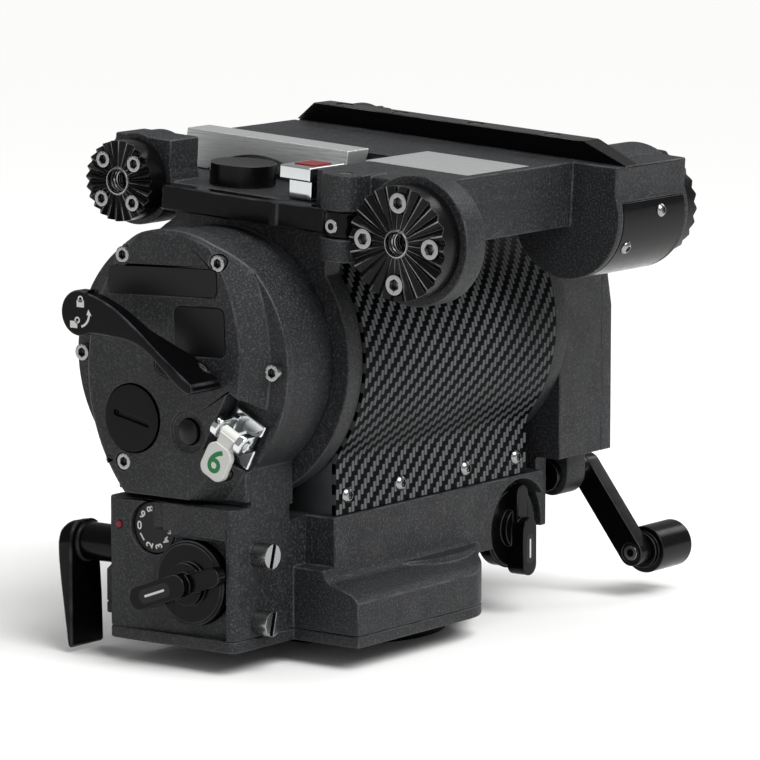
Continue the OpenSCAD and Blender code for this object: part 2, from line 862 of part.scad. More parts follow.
// Pan brake lever with its shaft and cam
module pan_brake_lever() {
  tip_z = -foot_h + 2.5;
  top_z = pan_lever_z + 9.3;
  color("#0c0c0d")
    lift()
      translate([pan_lever_x, 0, 0]) {
        translate([0, 0, pan_lever_z]) {
          ycyl(3.5, shoe_y[0] - 3.5, pan_lever_y + 2);
          translate([0.6, 0, 0]) ycyl(4.8, shoe_y[0] - 1.5, shoe_y[1] + 1);
          ycyl(8, column_half_d + run_gap, pan_lever_y + 2);
        }
        intersection() {
          translate([-far, 0, 0])
            rotate([90, 0, 90])
              linear_extrude(2 * far)
                polygon([
                  [pan_lever_y, tip_z], [pan_lever_y + 2.4, tip_z],
                  each curve([
                    [pan_lever_y + 6.4, 22], [pan_lever_y + pan_lever_t, 32], [pan_lever_y + 7.1, 40.5],
                    [pan_lever_y + 5.4, top_z - 1.4]
                  ], 6),
                  [pan_lever_y + 3, top_z], [pan_lever_y, top_z]
                ]);
          translate([0, far, 0])
            rotate([90, 0, 0])
              linear_extrude(2 * far)
                polygon([
                  [-12, tip_z], [9.8, tip_z], [9.2, 12],
                  each curve([[7.6, 33], [6.6, 41], [3.6, top_z - 0.6]], 6),
                  each curve([[-6.5, top_z], [-10.5, top_z - 3.5], [-12, top_z - 9]], 6)
                ]);
        }
      }
}

// Tilt brake lever: a curved bar that widens to a thumb pad, on its shaft through the cover
module tilt_brake_lever() {
  low = half_w + run_gap;
  color("#0c0c0d")
    at_axis() {
      xcyl(6, -low - 2, -cover_seam + 2);
      rotate([brake_turn, 0, 0]) {
        intersection() {
          translate([-brake_out, 0, 0]) rotate([90, 0, 90]) linear_extrude(brake_out - low) brake_plan();
          translate([0, 0, -far / 2])
            linear_extrude(far)
              polygon([
                [-low, brake_len[0] - 2], [-brake_out, brake_len[0] - 2], [-brake_out, brake_len[1] + 12],
                [-brake_out + 6, brake_len[1] + 12], [-brake_out + 7, 24], [-brake_out + 8.5, 8],
                [-low - 4, -4], [-low, -10]
              ]);
        }
        translate([-low - 3.2, 0, 0]) rotate([90, 0, 90]) linear_extrude(3.2) round_bar([0, 0], [-17, 6.5], 5);
      }
    }
}

// Outline of the lever along its length: pad, upper edge, tip and hollow lower edge
module brake_plan() {
  translate([brake_len[1], 2.5]) circle(r = 9.6);
  polygon([
    each curve([[brake_len[1] + 1, 12.1], [30.9, 13.8], [21.2, 14.6], [8.4, 13.6], [-7, 11.4], [-26, 9.6]], 6),
    each curve([[brake_len[0], 7.3], [-26, 5.2], [-19.5, 5.1], [-9, 6.9], [0, 8.2], [9.4, 7.2], [20.6, 2.4],
      [29, -2]], 5),
    [brake_len[1], 2.5]
  ]);
}

module tilt_brake_disc() {
  color("#a8abae")
    at_axis()
      difference() {
        union() {
          xcyl(40, -cover_seam + 8, -cover_seam + 12);
          xcyl(16, -cover_seam + 4.5, -cover_seam + 14);
        }
        xcyl(axle_r + eps, -far, far);
      }
}

module tilt_brake_pad() {
  color("#8a6f4a")
    at_axis()
      difference() {
        xcyl(38, -cover_seam, -cover_seam + 7.5);
        xcyl(27, -far, far);
      }
}

// Fixed housing of the tilt drag, under the carbon cover
module drum_housing() {
  w = drum_half_w - 1;
  saddle_y = flange_y - sheet_t - drum_fit;
  color("#4a4b4d")
    lift()
      difference() {
        union() {
          translate([0, 0, axis_h]) xcyl(drum_housing_r, -w, w);
          box([-w, -saddle_y, upper_h], [w, saddle_y, axis_h - 40]);
        }
        translate([0, 0, axis_h]) {
          xcyl(drum_housing_r - 5, -w + 4, -3);
          xcyl(drum_housing_r - 5, 3, w - 4);
          xcyl(axle_r + 1, -far, far);
        }
        for (x = cover_screw_x, s = [-1, 1])
          translate([x, s * saddle_y, cover_screw_z]) ycyl(2 + seat_gap, -8, 8);
      }
}

// Carbon sheet: drum, concave blend and screw flange, front and rear
module carbon_cover() {
  w = drum_half_w;
  inner_y = flange_y - sheet_t;
  f = 12;
  fy = flange_y + f;
  fz = axis_h - sqrt(pow(drum_r + f, 2) - fy * fy);
  touch = drum_r / (drum_r + f);
  color("#1a1b1c")
    lift()
      difference() {
        union() {
          translate([0, 0, axis_h]) xcyl(drum_r, -w, w);
          box([-w, -flange_y, flange_bottom], [w, flange_y, axis_h - 40]);
          for (s = [-1, 1])
            translate([-w, 0, 0])
              rotate([90, 0, 90])
                linear_extrude(2 * w)
                  polygon([
                    [s * (flange_y - 1), fz], [s * flange_y, fz],
                    [s * fy * touch, axis_h - (axis_h - fz) * touch], [s * (fy * touch - 4), axis_h - 36]
                  ]);
        }
        for (s = [-1, 1]) translate([0, s * fy, fz]) xcyl(f, -far, far);
        translate([0, 0, axis_h]) xcyl(drum_r - sheet_t, -far, far);
        box([-far, -inner_y, 0], [far, inner_y, axis_h]);
        for (x = cover_screw_x)
          translate([x, 0, cover_screw_z]) ycyl(2 + seat_gap, -far, far);
      }
}

module carbon_cover_screws() {
  color("#c9c9c6")
    lift()
      for (x = cover_screw_x, s = [-1, 1])
        translate([x, s * flange_y, cover_screw_z]) rotate([-s * 90, 0, 0]) button_screw(3.6, 2.2, 2, 8);
}

// Section of the right tower in X and Z, with its chamfered outer corner
module tower_section(x0, x1) {
  top = tower_z[1];
  intersection() {
    translate([x0, tower_z[0]]) square([x1 - x0, top - tower_z[0]]);
    polygon([
      [tower_in, tower_z[0] - 1], [half_w, tower_z[0] - 1], [half_w, top - 22], [half_w - 3, top - 8],
      [half_w - 9, top], [tower_in + 3, top], [tower_in, top - 4]
    ]);
  }
}

// Section along Y
module tower_slab(x0, x1) {
  translate([0, tower_half_d, 0]) rotate([90, 0, 0]) linear_extrude(2 * tower_half_d) tower_section(x0, x1);
}

module right_tower() {
  wall = 5;
  leg_y = upper_half_d - 4;
  color("#3c3d3f")
    lift()
      difference() {
        union() {
          tower_slab(tower_in, tower_seam);
          box([tower_in, -leg_y, ledge_h + 4], [tower_in + tower_wall, leg_y, tower_z[0] + 1]);
          translate([0, crank_y, crank_z]) xcyl(9.5, lug_x[0], lug_x[1]);
          box([lug_x[0], crank_y - 9.5, crank_z], [lug_x[1], crank_y + 9.5, tower_z[0] + 1]);
        }
        box([tower_in + tower_wall, -tower_half_d + wall, tower_z[0] + wall - 1],
          [far, tower_half_d - wall, tower_z[1] - wall]);
        translate([0, 0, axis_h]) xcyl(bearing_r + seat_gap, tower_in - 1, tower_in + tower_wall + 1);
        translate([0, crank_y, crank_z]) xcyl(crank_shaft_r + shaft_fit, 0, far);
        box([lug_x[0] + 2, crank_y - 6.5, crank_z - 6.5], [lug_x[1] - 2, crank_y + 6.5, tower_z[0] + 6]);
        for (p = tower_screws)
          translate([0, p[0], p[1]]) xcyl(2 + seat_gap, tower_seam - 9, far);
        translate([tilt_knob[0], 0, tilt_knob[1]]) ycyl(knob_r + 4, -far, tilt_knob_y);
      }
}

// Screws of the tower cover, as places in Y and Z
tower_screws = [
  for (y = [-1, 1], z = [tower_z[0] + 2.5, tower_z[1] - 2.5]) [y * (tower_half_d - 9), z]
];

module tower_cover() {
  color("#3a3b3d")
    lift()
      difference() {
        tower_slab(tower_seam, half_w);
        for (p = tower_screws)
          translate([0, p[0], p[1]]) {
            xcyl(1.5 + seat_gap, 0, far);
            xcyl(2.5, tower_seam + 3, far);
          }
      }
}

module tower_cover_screws() {
  color("#c9c9c6")
    lift()
      for (p = tower_screws)
        translate([tower_seam + 3, p[0], p[1]]) rotate([0, 90, 0]) cap_screw(2.3, 2.5, 1.5, 11);
}

module tilt_bearings() {
  color("#c8cacd")
    at_axis()
      for (x = [-tower_in - bearing_w - 0.5, tower_in + 0.5])
        translate([x, 0, 0]) rotate([0, 90, 0]) bearing(axle_r + shaft_fit, bearing_r, bearing_w);
}

module tilt_axle() {
  color("#b9bcc0")
    on_platform()
      xcyl(axle_r, -cover_seam + 4, tower_seam - 2);
}

module tilt_drag_rotor() {
  r = drum_housing_r - 8;
  color("#9a9da1")
    on_platform()
      difference() {
        union() {
          for (x = [-56, -44, -32, -20]) xcyl(r, x, x + 6);
          xcyl(axle_r + 8, -60, -8);
        }
        xcyl(axle_r + eps, -far, far);
      }
}

// Crank arm outside the right tower
module crank_arm() {
  color("#0c0c0d")
    lift()
      translate([arm_x, crank_y, crank_z])
        rotate([arm_turn, 0, 0])
          rotate([90, 0, 90])
            difference() {
              linear_extrude(arm_t)
                difference() {
                  round_bar([0, 0], [-crank_len, 0], 6);
                  circle(r = crank_shaft_r + eps);
                  translate([-crank_len, 0]) circle(r = 2.5 + seat_gap);
                }
              translate([-crank_len, 0, -1]) cylinder(h = 3.5, r = 4.3);
            }
}

// Crank shaft with its bush collar and bevel pinion
module crank_shaft() {
  color("#1b1b1c")
    lift()
      translate([0, crank_y, crank_z]) {
        xcyl(crank_shaft_r, lug_x[0] - 4, arm_x + arm_t);
        xcyl(7, lug_x[0] - 4, lug_x[0] - run_gap);
        xcyl(5.5, lug_x[0] + 3.5, lug_x[0] + 6);
        xcyl(6, lug_x[1] + run_gap, arm_x - 0.3);
      }
}

// Turning grip of the crank, with its pivot screw
module crank_grip() {
  color("#101011")
    lift()
      translate([arm_x, crank_y, crank_z])
        rotate([arm_turn, 0, 0])
          translate([0, -crank_len, 0]) {
            xcyl(2.5, 1, arm_t + 4);
            xcyl(4, 0.3, 2.2);
            xcyl(grip_r - 2.5, arm_t + run_gap, arm_t + 3);
            xcyl(grip_r, arm_t + 3 - eps, arm_t + grip_len);
          }
}

// Upright screw of the counterbalance, with the crown wheel that the crank turns
module counterbalance_screw() {
  color("#b9bcc0")
    lift()
      translate([crown_x, crank_y, 0]) {
        translate([0, 0, crank_z + 6]) cylinder(h = 2.5, r = 4.5);
        translate([0, 0, crank_z + 6]) cylinder(h = tower_z[1] - 5.3 - crank_z - 6, r = 3);
      }
}

// Cam of the counterbalance on the axle
module counterbalance_cam() {
  color("#9a9da1")
    on_platform()
      difference() {
        union() {
          xcyl(cam_wheel_r, tower_in + 14, tower_in + 22);
          xcyl(axle_r + 4, tower_in + 11, tower_in + 24);
        }
        xcyl(axle_r + eps, -far, far);
        box([0, -far, cam_wheel_r - 5], [far, far, far]);
      }
}

// Carriage that the screw carries, with the seat of the springs
module spring_carriage() {
  color("#6a6d70")
    lift()
      difference() {
        box([tower_in + tower_wall + seat_gap, crank_y - 8, 72], [crown_x + 6, 14, 80]);
        translate([crown_x, crank_y, 0]) cylinder(h = far, r = 3 + shaft_fit);
        translate([tower_in + 18, 0, 60]) cylinder(h = far, r = 5 + seat_gap);
      }
}

// Plunger with a stack of disc springs, under the cam
module spring_plunger() {
  top = axis_h - cam_wheel_r - run_gap;
  color("#8f9296")
    lift()
      translate([tower_in + 18, 0, 0]) {
        translate([0, 0, 66]) cylinder(h = top - 66, r = 5);
        translate([0, 0, top - 3]) cylinder(h = 3, r = 8);
        for (i = [0:2])
          translate([0, 0, 80 + i * 4]) {
            cylinder(h = 2, r1 = 7, r2 = 9.5);
            translate([0, 0, 2 - eps]) cylinder(h = 2, r1 = 9.5, r2 = 7);
          }
      }
}

// Bosses behind the rosettes, on both sides
module platform_bosses() {
  translate([0, rear_pos[0], rear_pos[1]]) {
    xcyl(rear_boss_r, -boss_face, -boss_face + 13);
    xcyl(rear_boss_r, 28, boss_face);
  }
  translate([0, front_pos[0], front_pos[1]]) {
    xcyl(front_boss_r, -boss_face, -62);
    xcyl(front_boss_r, 62, boss_face);
  }
}

// The camera platform
module platform_casting() {
  left = deck_half_w;
  jaw_out = jaw_x + jaw_w + jaw_travel + 1;
  color("#3c3d3f")
    on_platform()
      difference() {
        union() {
          box([-left, -deck_rear, floor_bottom], [left, deck_front, tray_top]);
          box([-jaw_x + 3, -deck_rear, tray_top - eps], [left, deck_front, deck_h]);
          box([-left, -deck_rear, tray_top - eps], [-jaw_x + 4, jaw_y[0] - 15, deck_h]);
          box([-jaw_out, -deck_rear, 55], [boss_face, -deck_rear + 22, deck_h]);
          box([-boss_face, deck_front - 22, tray_top - eps],
            [-62, deck_front + 8, front_pos[1] + front_boss_r - 1]);
          platform_bosses();
          box([28, -deck_rear - 22, 62], [boss_face, -deck_rear + 10, deck_h]);
          // hinge ears of the release lever
          for (z = [[lever_z[0] - 10, lever_z[0] - run_gap], [lever_z[1] + run_gap, deck_h + 1]])
            translate([0, 0, z[0]])
              linear_extrude(z[1] - z[0]) {
                translate(pin_pos) circle(r = knuckle_r);
                translate([pin_pos[0], pin_pos[1] - knuckle_r]) square([16, 16]);
              }
        }
        // room for the drum
        xcyl(deck_clear_r, -cheek_in, cheek_in);
        // room for the cheeks
        for (s = [-1, 1])
          box([s > 0 ? cheek_in - seat_gap : -cheek_out - seat_gap, web_y[0] - seat_gap, 0],
            [s > 0 ? far : -cheek_in + seat_gap, web_y[1] + seat_gap, floor_bottom]);
        // pin and thread holes
        translate([pin_pos[0], pin_pos[1], 0]) {
          cylinder(h = far, r = pin_r + seat_gap);
          translate([0, 0, lever_z[0] - run_gap])
            cylinder(h = lever_z[1] - lever_z[0] + 2 * run_gap, r = knuckle_r - 1);
        }
        rosette_sides(rear_pos) for (a = rear_angles) rotate(a)
          translate([rear_pcd / 2, 0, -10]) cylinder(h = 11, r = rear_head[2] + seat_gap);
        rosette_sides(front_pos) for (a = front_angles) rotate(a)
          translate([front_pcd / 2, 0, -10]) cylinder(h = 11, r = front_head[2] + seat_gap);
        // seat of the guide rail beside the right rear boss
        box([28 - 1, -far, deck_h], [rail_x + 9 + seat_gap, far, far]);
        // groove under the rail's undercut
        box([rail_x - 3.3, -far, deck_h - 1], [rail_x, far, far]);
        // seats of the wear strip, clamp cam and cover plate
        translate([wear_pos[0], wear_pos[1], deck_h - 1.2])
          linear_extrude(5) square(wear_size + [seat_gap, seat_gap] * 2, center = true);
        translate([cam_pos[0], cam_pos[1], tray_top - 2]) cylinder(h = 5, r = 4 + shaft_fit);
        rear_plate_shape(seat_gap);
        rear_plate_bolts() translate([0, 0, -7]) cylinder(h = 20, r = 1.5 + seat_gap);
        for (p = rail_screw_y)
          translate([rail_x + 4.5, p, deck_h - 9]) cylinder(h = 20, r = 2 + seat_gap);
      }
}

// Curved plate under the right rear boss
module rear_plate_shape(room) {
  difference() {
    translate([0, rear_pos[0], rear_pos[1]])
      xcyl(rear_boss_r + (room > 0 ? 1 : 0), 32 - room, boss_face - 3 + room);
    translate([0, rear_pos[0], rear_pos[1]]) xcyl(rear_boss_r - 2.5 - room, -far, far);
    box([0, -far, rear_pos[1] + 8 + room], [far, far, far]);
    box([0, -deck_rear + 8 + room, -far], [far, far, far]);
  }
}

// Places of the plate's screws, on the boss
module rear_plate_bolts() {
  for (p = [[60, -6], [38, 25]])
    translate([p[0], rear_pos[0], rear_pos[1]])
      rotate([p[1], 0, 0])
        translate([0, -rear_boss_r, 0])
          rotate([90, 0, 0])
            children();
}

module rear_cover_plate() {
  color("#161617")
    on_platform()
      difference() {
        rear_plate_shape(0);
        rear_plate_bolts() translate([0, 0, -7]) cylinder(h = 20, r = 1.5 + seat_gap);
      }
}

// Cheeks that carry the platform on the axle
module cheeks() {
  color("#414244")
    on_platform()
      for (s = [-1, 1])
        difference() {
          union() {
            xcyl(cheek_r, s > 0 ? cheek_in : -cheek_out, s > 0 ? cheek_out : -cheek_in);
            box([s > 0 ? cheek_in : -cheek_out, web_y[0], 0],
              [s > 0 ? cheek_out : -cheek_in, web_y[1], floor_bottom]);
          }
          xcyl(axle_r + eps, -far, far);
        }
}

module rear_rosettes() {
  color("#0e0e0f")
    on_platform() rosette_sides(rear_pos) rosette(rear_rosette_r, rear_pcd, rear_angles, rear_head);
}

module front_rosettes() {
  color("#0e0e0f")
    on_platform() rosette_sides(front_pos) rosette(front_rosette_r, front_pcd, front_angles, front_head);
}

module rosette_screws() {
  color("#c9c9c6")
    on_platform() {
      rosette_sides(rear_pos) rosette_bolts(rear_pcd, rear_angles, rear_head);
      rosette_sides(front_pos) rosette_bolts(front_pcd, front_angles, front_head);
    }
}

// Screws of the guide rail, as places along Y
rail_screw_y = [-75, -35, 5, 35];

// Fixed guide rail with sloped ends and an undercut inner face
module guide_rail() {
  front = deck_front + 1;
  rear = -deck_rear - 21;
  color("#0e0e0f")
    on_platform()
      difference() {
        intersection() {
          translate([0, front, deck_h])
            rotate([90, 0, 0])
              linear_extrude(front - rear)
                polygon([[rail_x, 0], [rail_x - 3, rail_h], [rail_x + 9, rail_h], [rail_x + 9, 0]]);
          translate([0, 0, deck_h])
            rotate([90, 0, 90])
              linear_extrude(far)
                polygon([[rear, 0], [rear + 20, rail_h], [front - 11, rail_h], [front, 0]]);
        }
        for (p = rail_screw_y)
          translate([rail_x + 4.5, p, deck_h - 1]) {
            cylinder(h = 20, r = 2 + seat_gap);
            translate([0, 0, rail_h - 3]) cylinder(h = 20, r = 3.8);
          }
      }
}

module wear_strip() {
  color("#b4b6b8")
    on_platform()
      translate([wear_pos[0], wear_pos[1], deck_h - 1.2])
        linear_extrude(1.2) square(wear_size, center = true);
}

// Rail screws, hinge pin and the screws of the rear cover plate
module platform_screws() {
  color("#c9c9c6")
    on_platform() {
      for (p = rail_screw_y)
        translate([rail_x + 4.5, p, deck_h + rail_h - 4]) cap_screw(3.5, 3.5, 2, 12);
      translate([pin_pos[0], pin_pos[1], lever_z[0] - 10])
        cylinder(h = deck_h - lever_z[0] + 10.6, r = pin_r);
      rear_plate_bolts() button_screw(3, 1.8, 1.5, 6.5);
    }
}

// Sliding jaw with its arch
module clamp_jaw() {
  arch_r = 46;
  arch_y = 20;
  color("#a9abad")
    on_platform()
      difference() {
        translate([0, jaw_y[1], tray_top + 0.3])
          rotate([90, 0, 0])
            linear_extrude(jaw_y[1] - jaw_y[0])
              polygon([
                [-jaw_x - jaw_w, 0], [-jaw_x, 0], [-jaw_x, deck_h - tray_top - 4],
                [-jaw_x + 2, deck_h - tray_top + 1.5], [-jaw_x - jaw_w + 2, deck_h - tray_top + 1.5]
              ]);
        translate([0, arch_y, deck_h - 5.7 - arch_r]) xcyl(arch_r, -jaw_x - jaw_w - 1, -jaw_x - 4);
      }
}

// Round cam that the lever turns to shift the jaw
module clamp_cam() {
  color("#1b1b1c")
    on_platform()
      translate([cam_pos[0], cam_pos[1], 0]) {
        translate([0, 0, tray_top + 0.3]) cylinder(h = deck_h - tray_top - 5.7, r = cam_r);
        translate([0, 0, tray_top - 1.8]) cylinder(h = 3, r = 4);
      }
}

// Long release lever on its upright pin
module release_lever() {
  z0 = lever_z[0];
  h = lever_z[1] - lever_z[0];
  color("#0c0c0d")
    on_platform()
      difference() {
        translate([pin_pos[0], pin_pos[1], z0]) {
          cylinder(h = h, r = knuckle_r - 1.5);
          linear_extrude(h) round_bar([0, 0], [-1.5, 36], 3);
          linear_extrude(h) round_bar([-2, 34], [-2, lever_len - 4], 4);
        }
        translate([pin_pos[0], pin_pos[1], z0 - 1]) cylinder(h = h + 2, r = pin_r + shaft_fit);
      }
}

// Safety catch with its finger plate
module safety_catch() {
  color("#d4d6d8")
    on_platform()
      translate([catch_pos[0], catch_pos[1], 0]) {
        box([-8, -6, tray_top + 0.2], [8, 6, deck_h - 6]);
        box([-12, -8, deck_h - 6 - eps], [12, 8, deck_h]);
      }
}

mount_flange();
pan_spindle();
pan_bearing_lower();
pan_bearing_upper();
pan_bearing_carrier();
pan_drag_rotor();
pan_drag_cup();
pan_brake_disc();
pan_brake_shoe();
base_casting();
bottom_plate();
bottom_plate_screws();
column_screws();
side_cover();
side_cover_screws();
name_strip();
badge_plate();
battery_cap();
light_button();
index_yoke();
index_tag();
index_dot();
fluid_dial();
dial_gear();
pan_fluid_knob();
pan_knob_gear();
pan_brake_lever();
tilt_brake_lever();
tilt_brake_disc();
tilt_brake_pad();
drum_housing();
carbon_cover();
carbon_cover_screws();
right_tower();
tower_cover();
tower_cover_screws();
tilt_bearings();
tilt_axle();
tilt_drag_rotor();
tilt_fluid_knob();
crank_arm();
crank_shaft();
crank_grip();
counterbalance_screw();
counterbalance_cam();
spring_carriage();
spring_plunger();
platform_casting();
cheeks();
rear_rosettes();
front_rosettes();
rosette_screws();
guide_rail();
wear_strip();
rear_cover_plate();
platform_screws();
clamp_jaw();
clamp_cam();
release_lever();
safety_catch();
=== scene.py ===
import json
import math

import bmesh
import bpy
from mathutils import Matrix, Vector


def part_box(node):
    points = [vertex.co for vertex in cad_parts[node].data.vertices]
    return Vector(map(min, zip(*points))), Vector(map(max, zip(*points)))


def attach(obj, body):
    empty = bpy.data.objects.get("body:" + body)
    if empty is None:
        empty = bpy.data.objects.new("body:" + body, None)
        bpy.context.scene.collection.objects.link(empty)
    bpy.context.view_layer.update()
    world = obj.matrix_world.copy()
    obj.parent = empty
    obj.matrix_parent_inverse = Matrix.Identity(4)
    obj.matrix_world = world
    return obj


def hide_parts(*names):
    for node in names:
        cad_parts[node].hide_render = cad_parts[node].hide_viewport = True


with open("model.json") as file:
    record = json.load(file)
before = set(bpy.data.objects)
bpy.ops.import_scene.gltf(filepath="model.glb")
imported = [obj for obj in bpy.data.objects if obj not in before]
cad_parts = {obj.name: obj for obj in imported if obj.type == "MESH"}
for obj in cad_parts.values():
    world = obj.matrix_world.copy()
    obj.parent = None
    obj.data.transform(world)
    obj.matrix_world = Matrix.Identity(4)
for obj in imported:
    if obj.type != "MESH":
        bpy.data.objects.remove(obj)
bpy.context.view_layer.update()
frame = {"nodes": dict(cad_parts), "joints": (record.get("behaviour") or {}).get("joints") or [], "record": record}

bl_info = {
    "name": "Fluid video head",
    "version": (1, 0, 0),
    "blender": (4, 5, 0),
    "location": "3D View > Sidebar > Video head",
    "description": "Dresses the solids of a fluid video head: castings, carbon, controls and platform",
    "category": "Object",
}

MM = 0.001
NODES = frame["nodes"]
RECORD = frame["record"]
BODY_OF = {node: body for body, nodes in RECORD["behaviour"]["bodies"].items() for node in nodes}
SLOT_OF = {entry["node"]: entry["material_slot"] for entry in RECORD["subparts"]}
JOINTS = {joint["name"]: joint for joint in frame["joints"]}
TILT_AXIS_Z = JOINTS["tilt"]["pos_m"][2]
DECK_UP = Vector(JOINTS["release"]["axis"]).normalized()
DECK_FRONT = DECK_UP.cross(Vector((1, 0, 0))).normalized()


def rgb(hex_colour):
    """Linear colour of an sRGB hex value."""
    parts = [int(hex_colour[i:i + 2], 16) / 255 for i in (1, 3, 5)]
    linear = [c / 12.92 if c <= 0.04045 else ((c + 0.055) / 1.055) ** 2.4 for c in parts]
    return (*linear, 1.0)


def colour(hex_colour, name, description):
    """A colour property whose default is an sRGB hex value."""
    return bpy.props.FloatVectorProperty(
        name=name, description=description, default=rgb(hex_colour), size=4, subtype="COLOR", min=0, max=1
    )


def length(value_mm, name, description):
    """A length property whose default is given in millimetres."""
    return bpy.props.FloatProperty(
        name=name, description=description, default=value_mm * MM, min=0, unit="LENGTH", precision=5
    )


class HEAD_PG_finishes(bpy.types.PropertyGroup):
    """Colours of the head's finishes."""

    powder_coat: colour("#191a1c", "Powder coat", "Textured paint of the castings")
    powder_speck: colour("#434447", "Powder speck", "Paler grains of the textured paint")
    # Pale edge colour of the paint: partly wear, partly a painted highlight along the edges.
    rubbed_coat: colour("#6a6b6d", "Rubbed coat", "Paint along the edges, where hands rub it thin")
    anodised: colour("#070708", "Black anodised", "Rosettes, guide rail and foot")
    # Pale colour of crests and edges: partly worn dye, partly a painted highlight.
    rubbed_anodised: colour("#b4b5b7", "Rubbed anodising", "Crests and edges, where the dye wears off")
    gloss_black: colour("#060607", "Gloss black", "Levers, knobs and crank")
    # Painted highlight along the edges of the levers, knobs and crank.
    rubbed_lacquer: colour("#55565a", "Rubbed lacquer", "Edges that fingers polish")
    satin_black: colour("#0e0e0f", "Satin black", "Button, crank grip and blank plates")
    tow_dark: colour("#050506", "Dark tow", "Carbon tows that turn away from the light")
    # Painted sheen: the pale colour of the same black tows where they face the light.
    tow_light: colour("#6a6c6e", "Light tow", "Carbon tows that face the light")
    stainless: colour("#9a9b9b", "Stainless steel", "Screws")
    # Painted shade: the dark colour that fills the screws' sockets and slots.
    grease: colour("#161616", "Grease", "Dark film in the sockets and slots of the screws")
    chrome: colour("#d9dcde", "Chrome", "Yoke and safety catch")
    jaw_metal: colour("#e2e3e3", "Brushed aluminium", "Clamp jaw and wear strip")
    white_enamel: colour("#e4e4df", "White enamel", "Number tag and figures")
    green_enamel: colour("#0f7a3c", "Green enamel", "Figure on the number tag")
    red_enamel: colour("#7d1216", "Red enamel", "Index dot and the catch's mark")
    inner_metal: colour("#8d9094", "Machined aluminium", "Pieces inside the housings")
    lining: colour("#7d6744", "Brake lining", "Brake shoe and pad")
    brass: colour("#b8934a", "Cut brass", "Gears of the dial")


class HEAD_PG_sizes(bpy.types.PropertyGroup):
    """Sizes of the edges and of the pieces that Blender adds."""

    casting_edge: length(0.8, "Casting edge", "Rounded edge of the castings")
    machined_edge: length(0.3, "Machined edge", "Broken edge of turned and milled pieces")
    lever_edge: length(1.0, "Lever edge", "Rounded edge of the tilt brake and release levers")
    paddle_edge: length(1.4, "Paddle edge", "Rounded edge of the pan brake lever")
    knob_edge: length(0.5, "Knob edge", "Rounded edge of the knobs")
    bar_edge: length(0.5, "Bar edge", "Rounded edge of the jaw, the guide rail and the number tag")
    tooth_edge: length(0.25, "Tooth edge", "Broken edge of the rosettes")
    screw_edge: length(0.22, "Screw edge", "Broken edge of the screw heads")
    plate_edge: length(0.2, "Plate edge", "Broken edge of the blank plates and the index dot")
    strip_edge: length(0.1, "Strip edge", "Broken edge of the wear strip")
    yoke_edge: length(0.7, "Yoke edge", "Rounded edge of the chrome yoke")
    catch_edge: length(0.8, "Catch edge", "Rounded edge of the safety catch")
    flange_half: length(47.3, "Flange half width", "Carbon flange from the middle, along Y")
    flange_bottom: length(62.5, "Flange bottom", "Lower edge of the carbon flange")
    blend_radius: length(12, "Blend radius", "Hollow between carbon drum and flange")
    sheet: length(2, "Carbon sheet", "Thickness of the carbon cover")
    tow: length(2.15, "Tow width", "Width of one carbon tow")
    thread_pitch: length(1.5875, "Thread pitch", "Pitch of a 3/8 inch thread with 16 turns an inch")
    digit: length(3.5, "Dial figure", "Height of a figure on the dial")
    tag_digit: length(10.5, "Tag figure", "Height of the figure on the tag")
    mark: length(0.12, "Mark thickness", "Thickness of the painted marks")
    bar_half: length(5, "Bar half width", "Half the width of a knob's finger bar")
    bar_drop: length(7, "Bar drop", "How far the pan knob's bar falls over its length")
    pad_radius: length(9.6, "Pad radius", "Radius of the tilt lever's finger pad")
    knuckle: length(8, "Knuckle radius", "Radius of the release lever round its pin")
    flare: length(1.4, "Thread flare", "How much wider a rosette's hole is at its mouth than at its end")


class HEAD_PG_studio(bpy.types.PropertyGroup):
    """Camera and lights."""

    lens: bpy.props.FloatProperty(name="Lens", description="Focal length in mm", default=251.3, min=10)
    heading: bpy.props.FloatProperty(
        name="Heading", description="Camera's turn from the front",
        default=math.radians(-53.51), subtype="ANGLE",
    )
    pitch: bpy.props.FloatProperty(
        name="Pitch", description="Camera's tilt from straight down",
        default=math.radians(81.45), subtype="ANGLE",
    )
    camera_place: bpy.props.FloatVectorProperty(
        name="Camera place", description="Where the camera stands",
        default=(-1.8042, -1.3537, 0.446), unit="LENGTH",
    )
    ambient: bpy.props.FloatProperty(
        name="Ambient", description="Strength of the plain room", default=0.32, min=0
    )
    key: bpy.props.FloatProperty(
        name="Key", description="Strength of the broad key light", default=2.8, min=0
    )
    box: bpy.props.FloatProperty(
        name="Soft boxes", description="Power of each soft box in watts", default=4, min=0
    )


def finishes():
    """Colours that the scene holds."""
    return bpy.context.scene.head_finishes


def sizes():
    """Sizes that the scene holds."""
    return bpy.context.scene.head_sizes


def add(tree, kind, inputs=None, **settings):
    """Adds a node with its settings; an input takes a value or another node's output."""
    node = tree.nodes.new(kind)
    for key, value in settings.items():
        setattr(node, key, value)
    for key, value in (inputs or {}).items():
        if isinstance(value, bpy.types.NodeSocket):
            tree.links.new(value, node.inputs[key])
        else:
            node.inputs[key].default_value = value
    return node


def new_material(name, base, roughness, metallic=0.0, **sockets):
    """A material with its principled shader; other sockets are given by name."""
    material = bpy.data.materials.get(name)
    if material:
        return material, None, None
    material = bpy.data.materials.new(name)
    material.use_nodes = True
    material.diffuse_color = base
    tree = material.node_tree
    shader = tree.nodes["Principled BSDF"]
    shader.inputs["Base Color"].default_value = base
    shader.inputs["Roughness"].default_value = roughness
    shader.inputs["Metallic"].default_value = metallic
    for key, value in sockets.items():
        shader.inputs[key.replace("_", " ")].default_value = value
    return material, tree, shader


def calc(tree, operation, first, second=0.0):
    """Output of a Math node."""
    return add(tree, "ShaderNodeMath", {0: first, 1: second}, operation=operation).outputs["Value"]


def ranged(tree, value, start, end, least=0.0, most=1.0):
    """A value brought from one range into another."""
    limits = {"From Min": start, "From Max": end, "To Min": least, "To Max": most}
    return add(tree, "ShaderNodeMapRange", {"Value": value, **limits}).outputs["Result"]


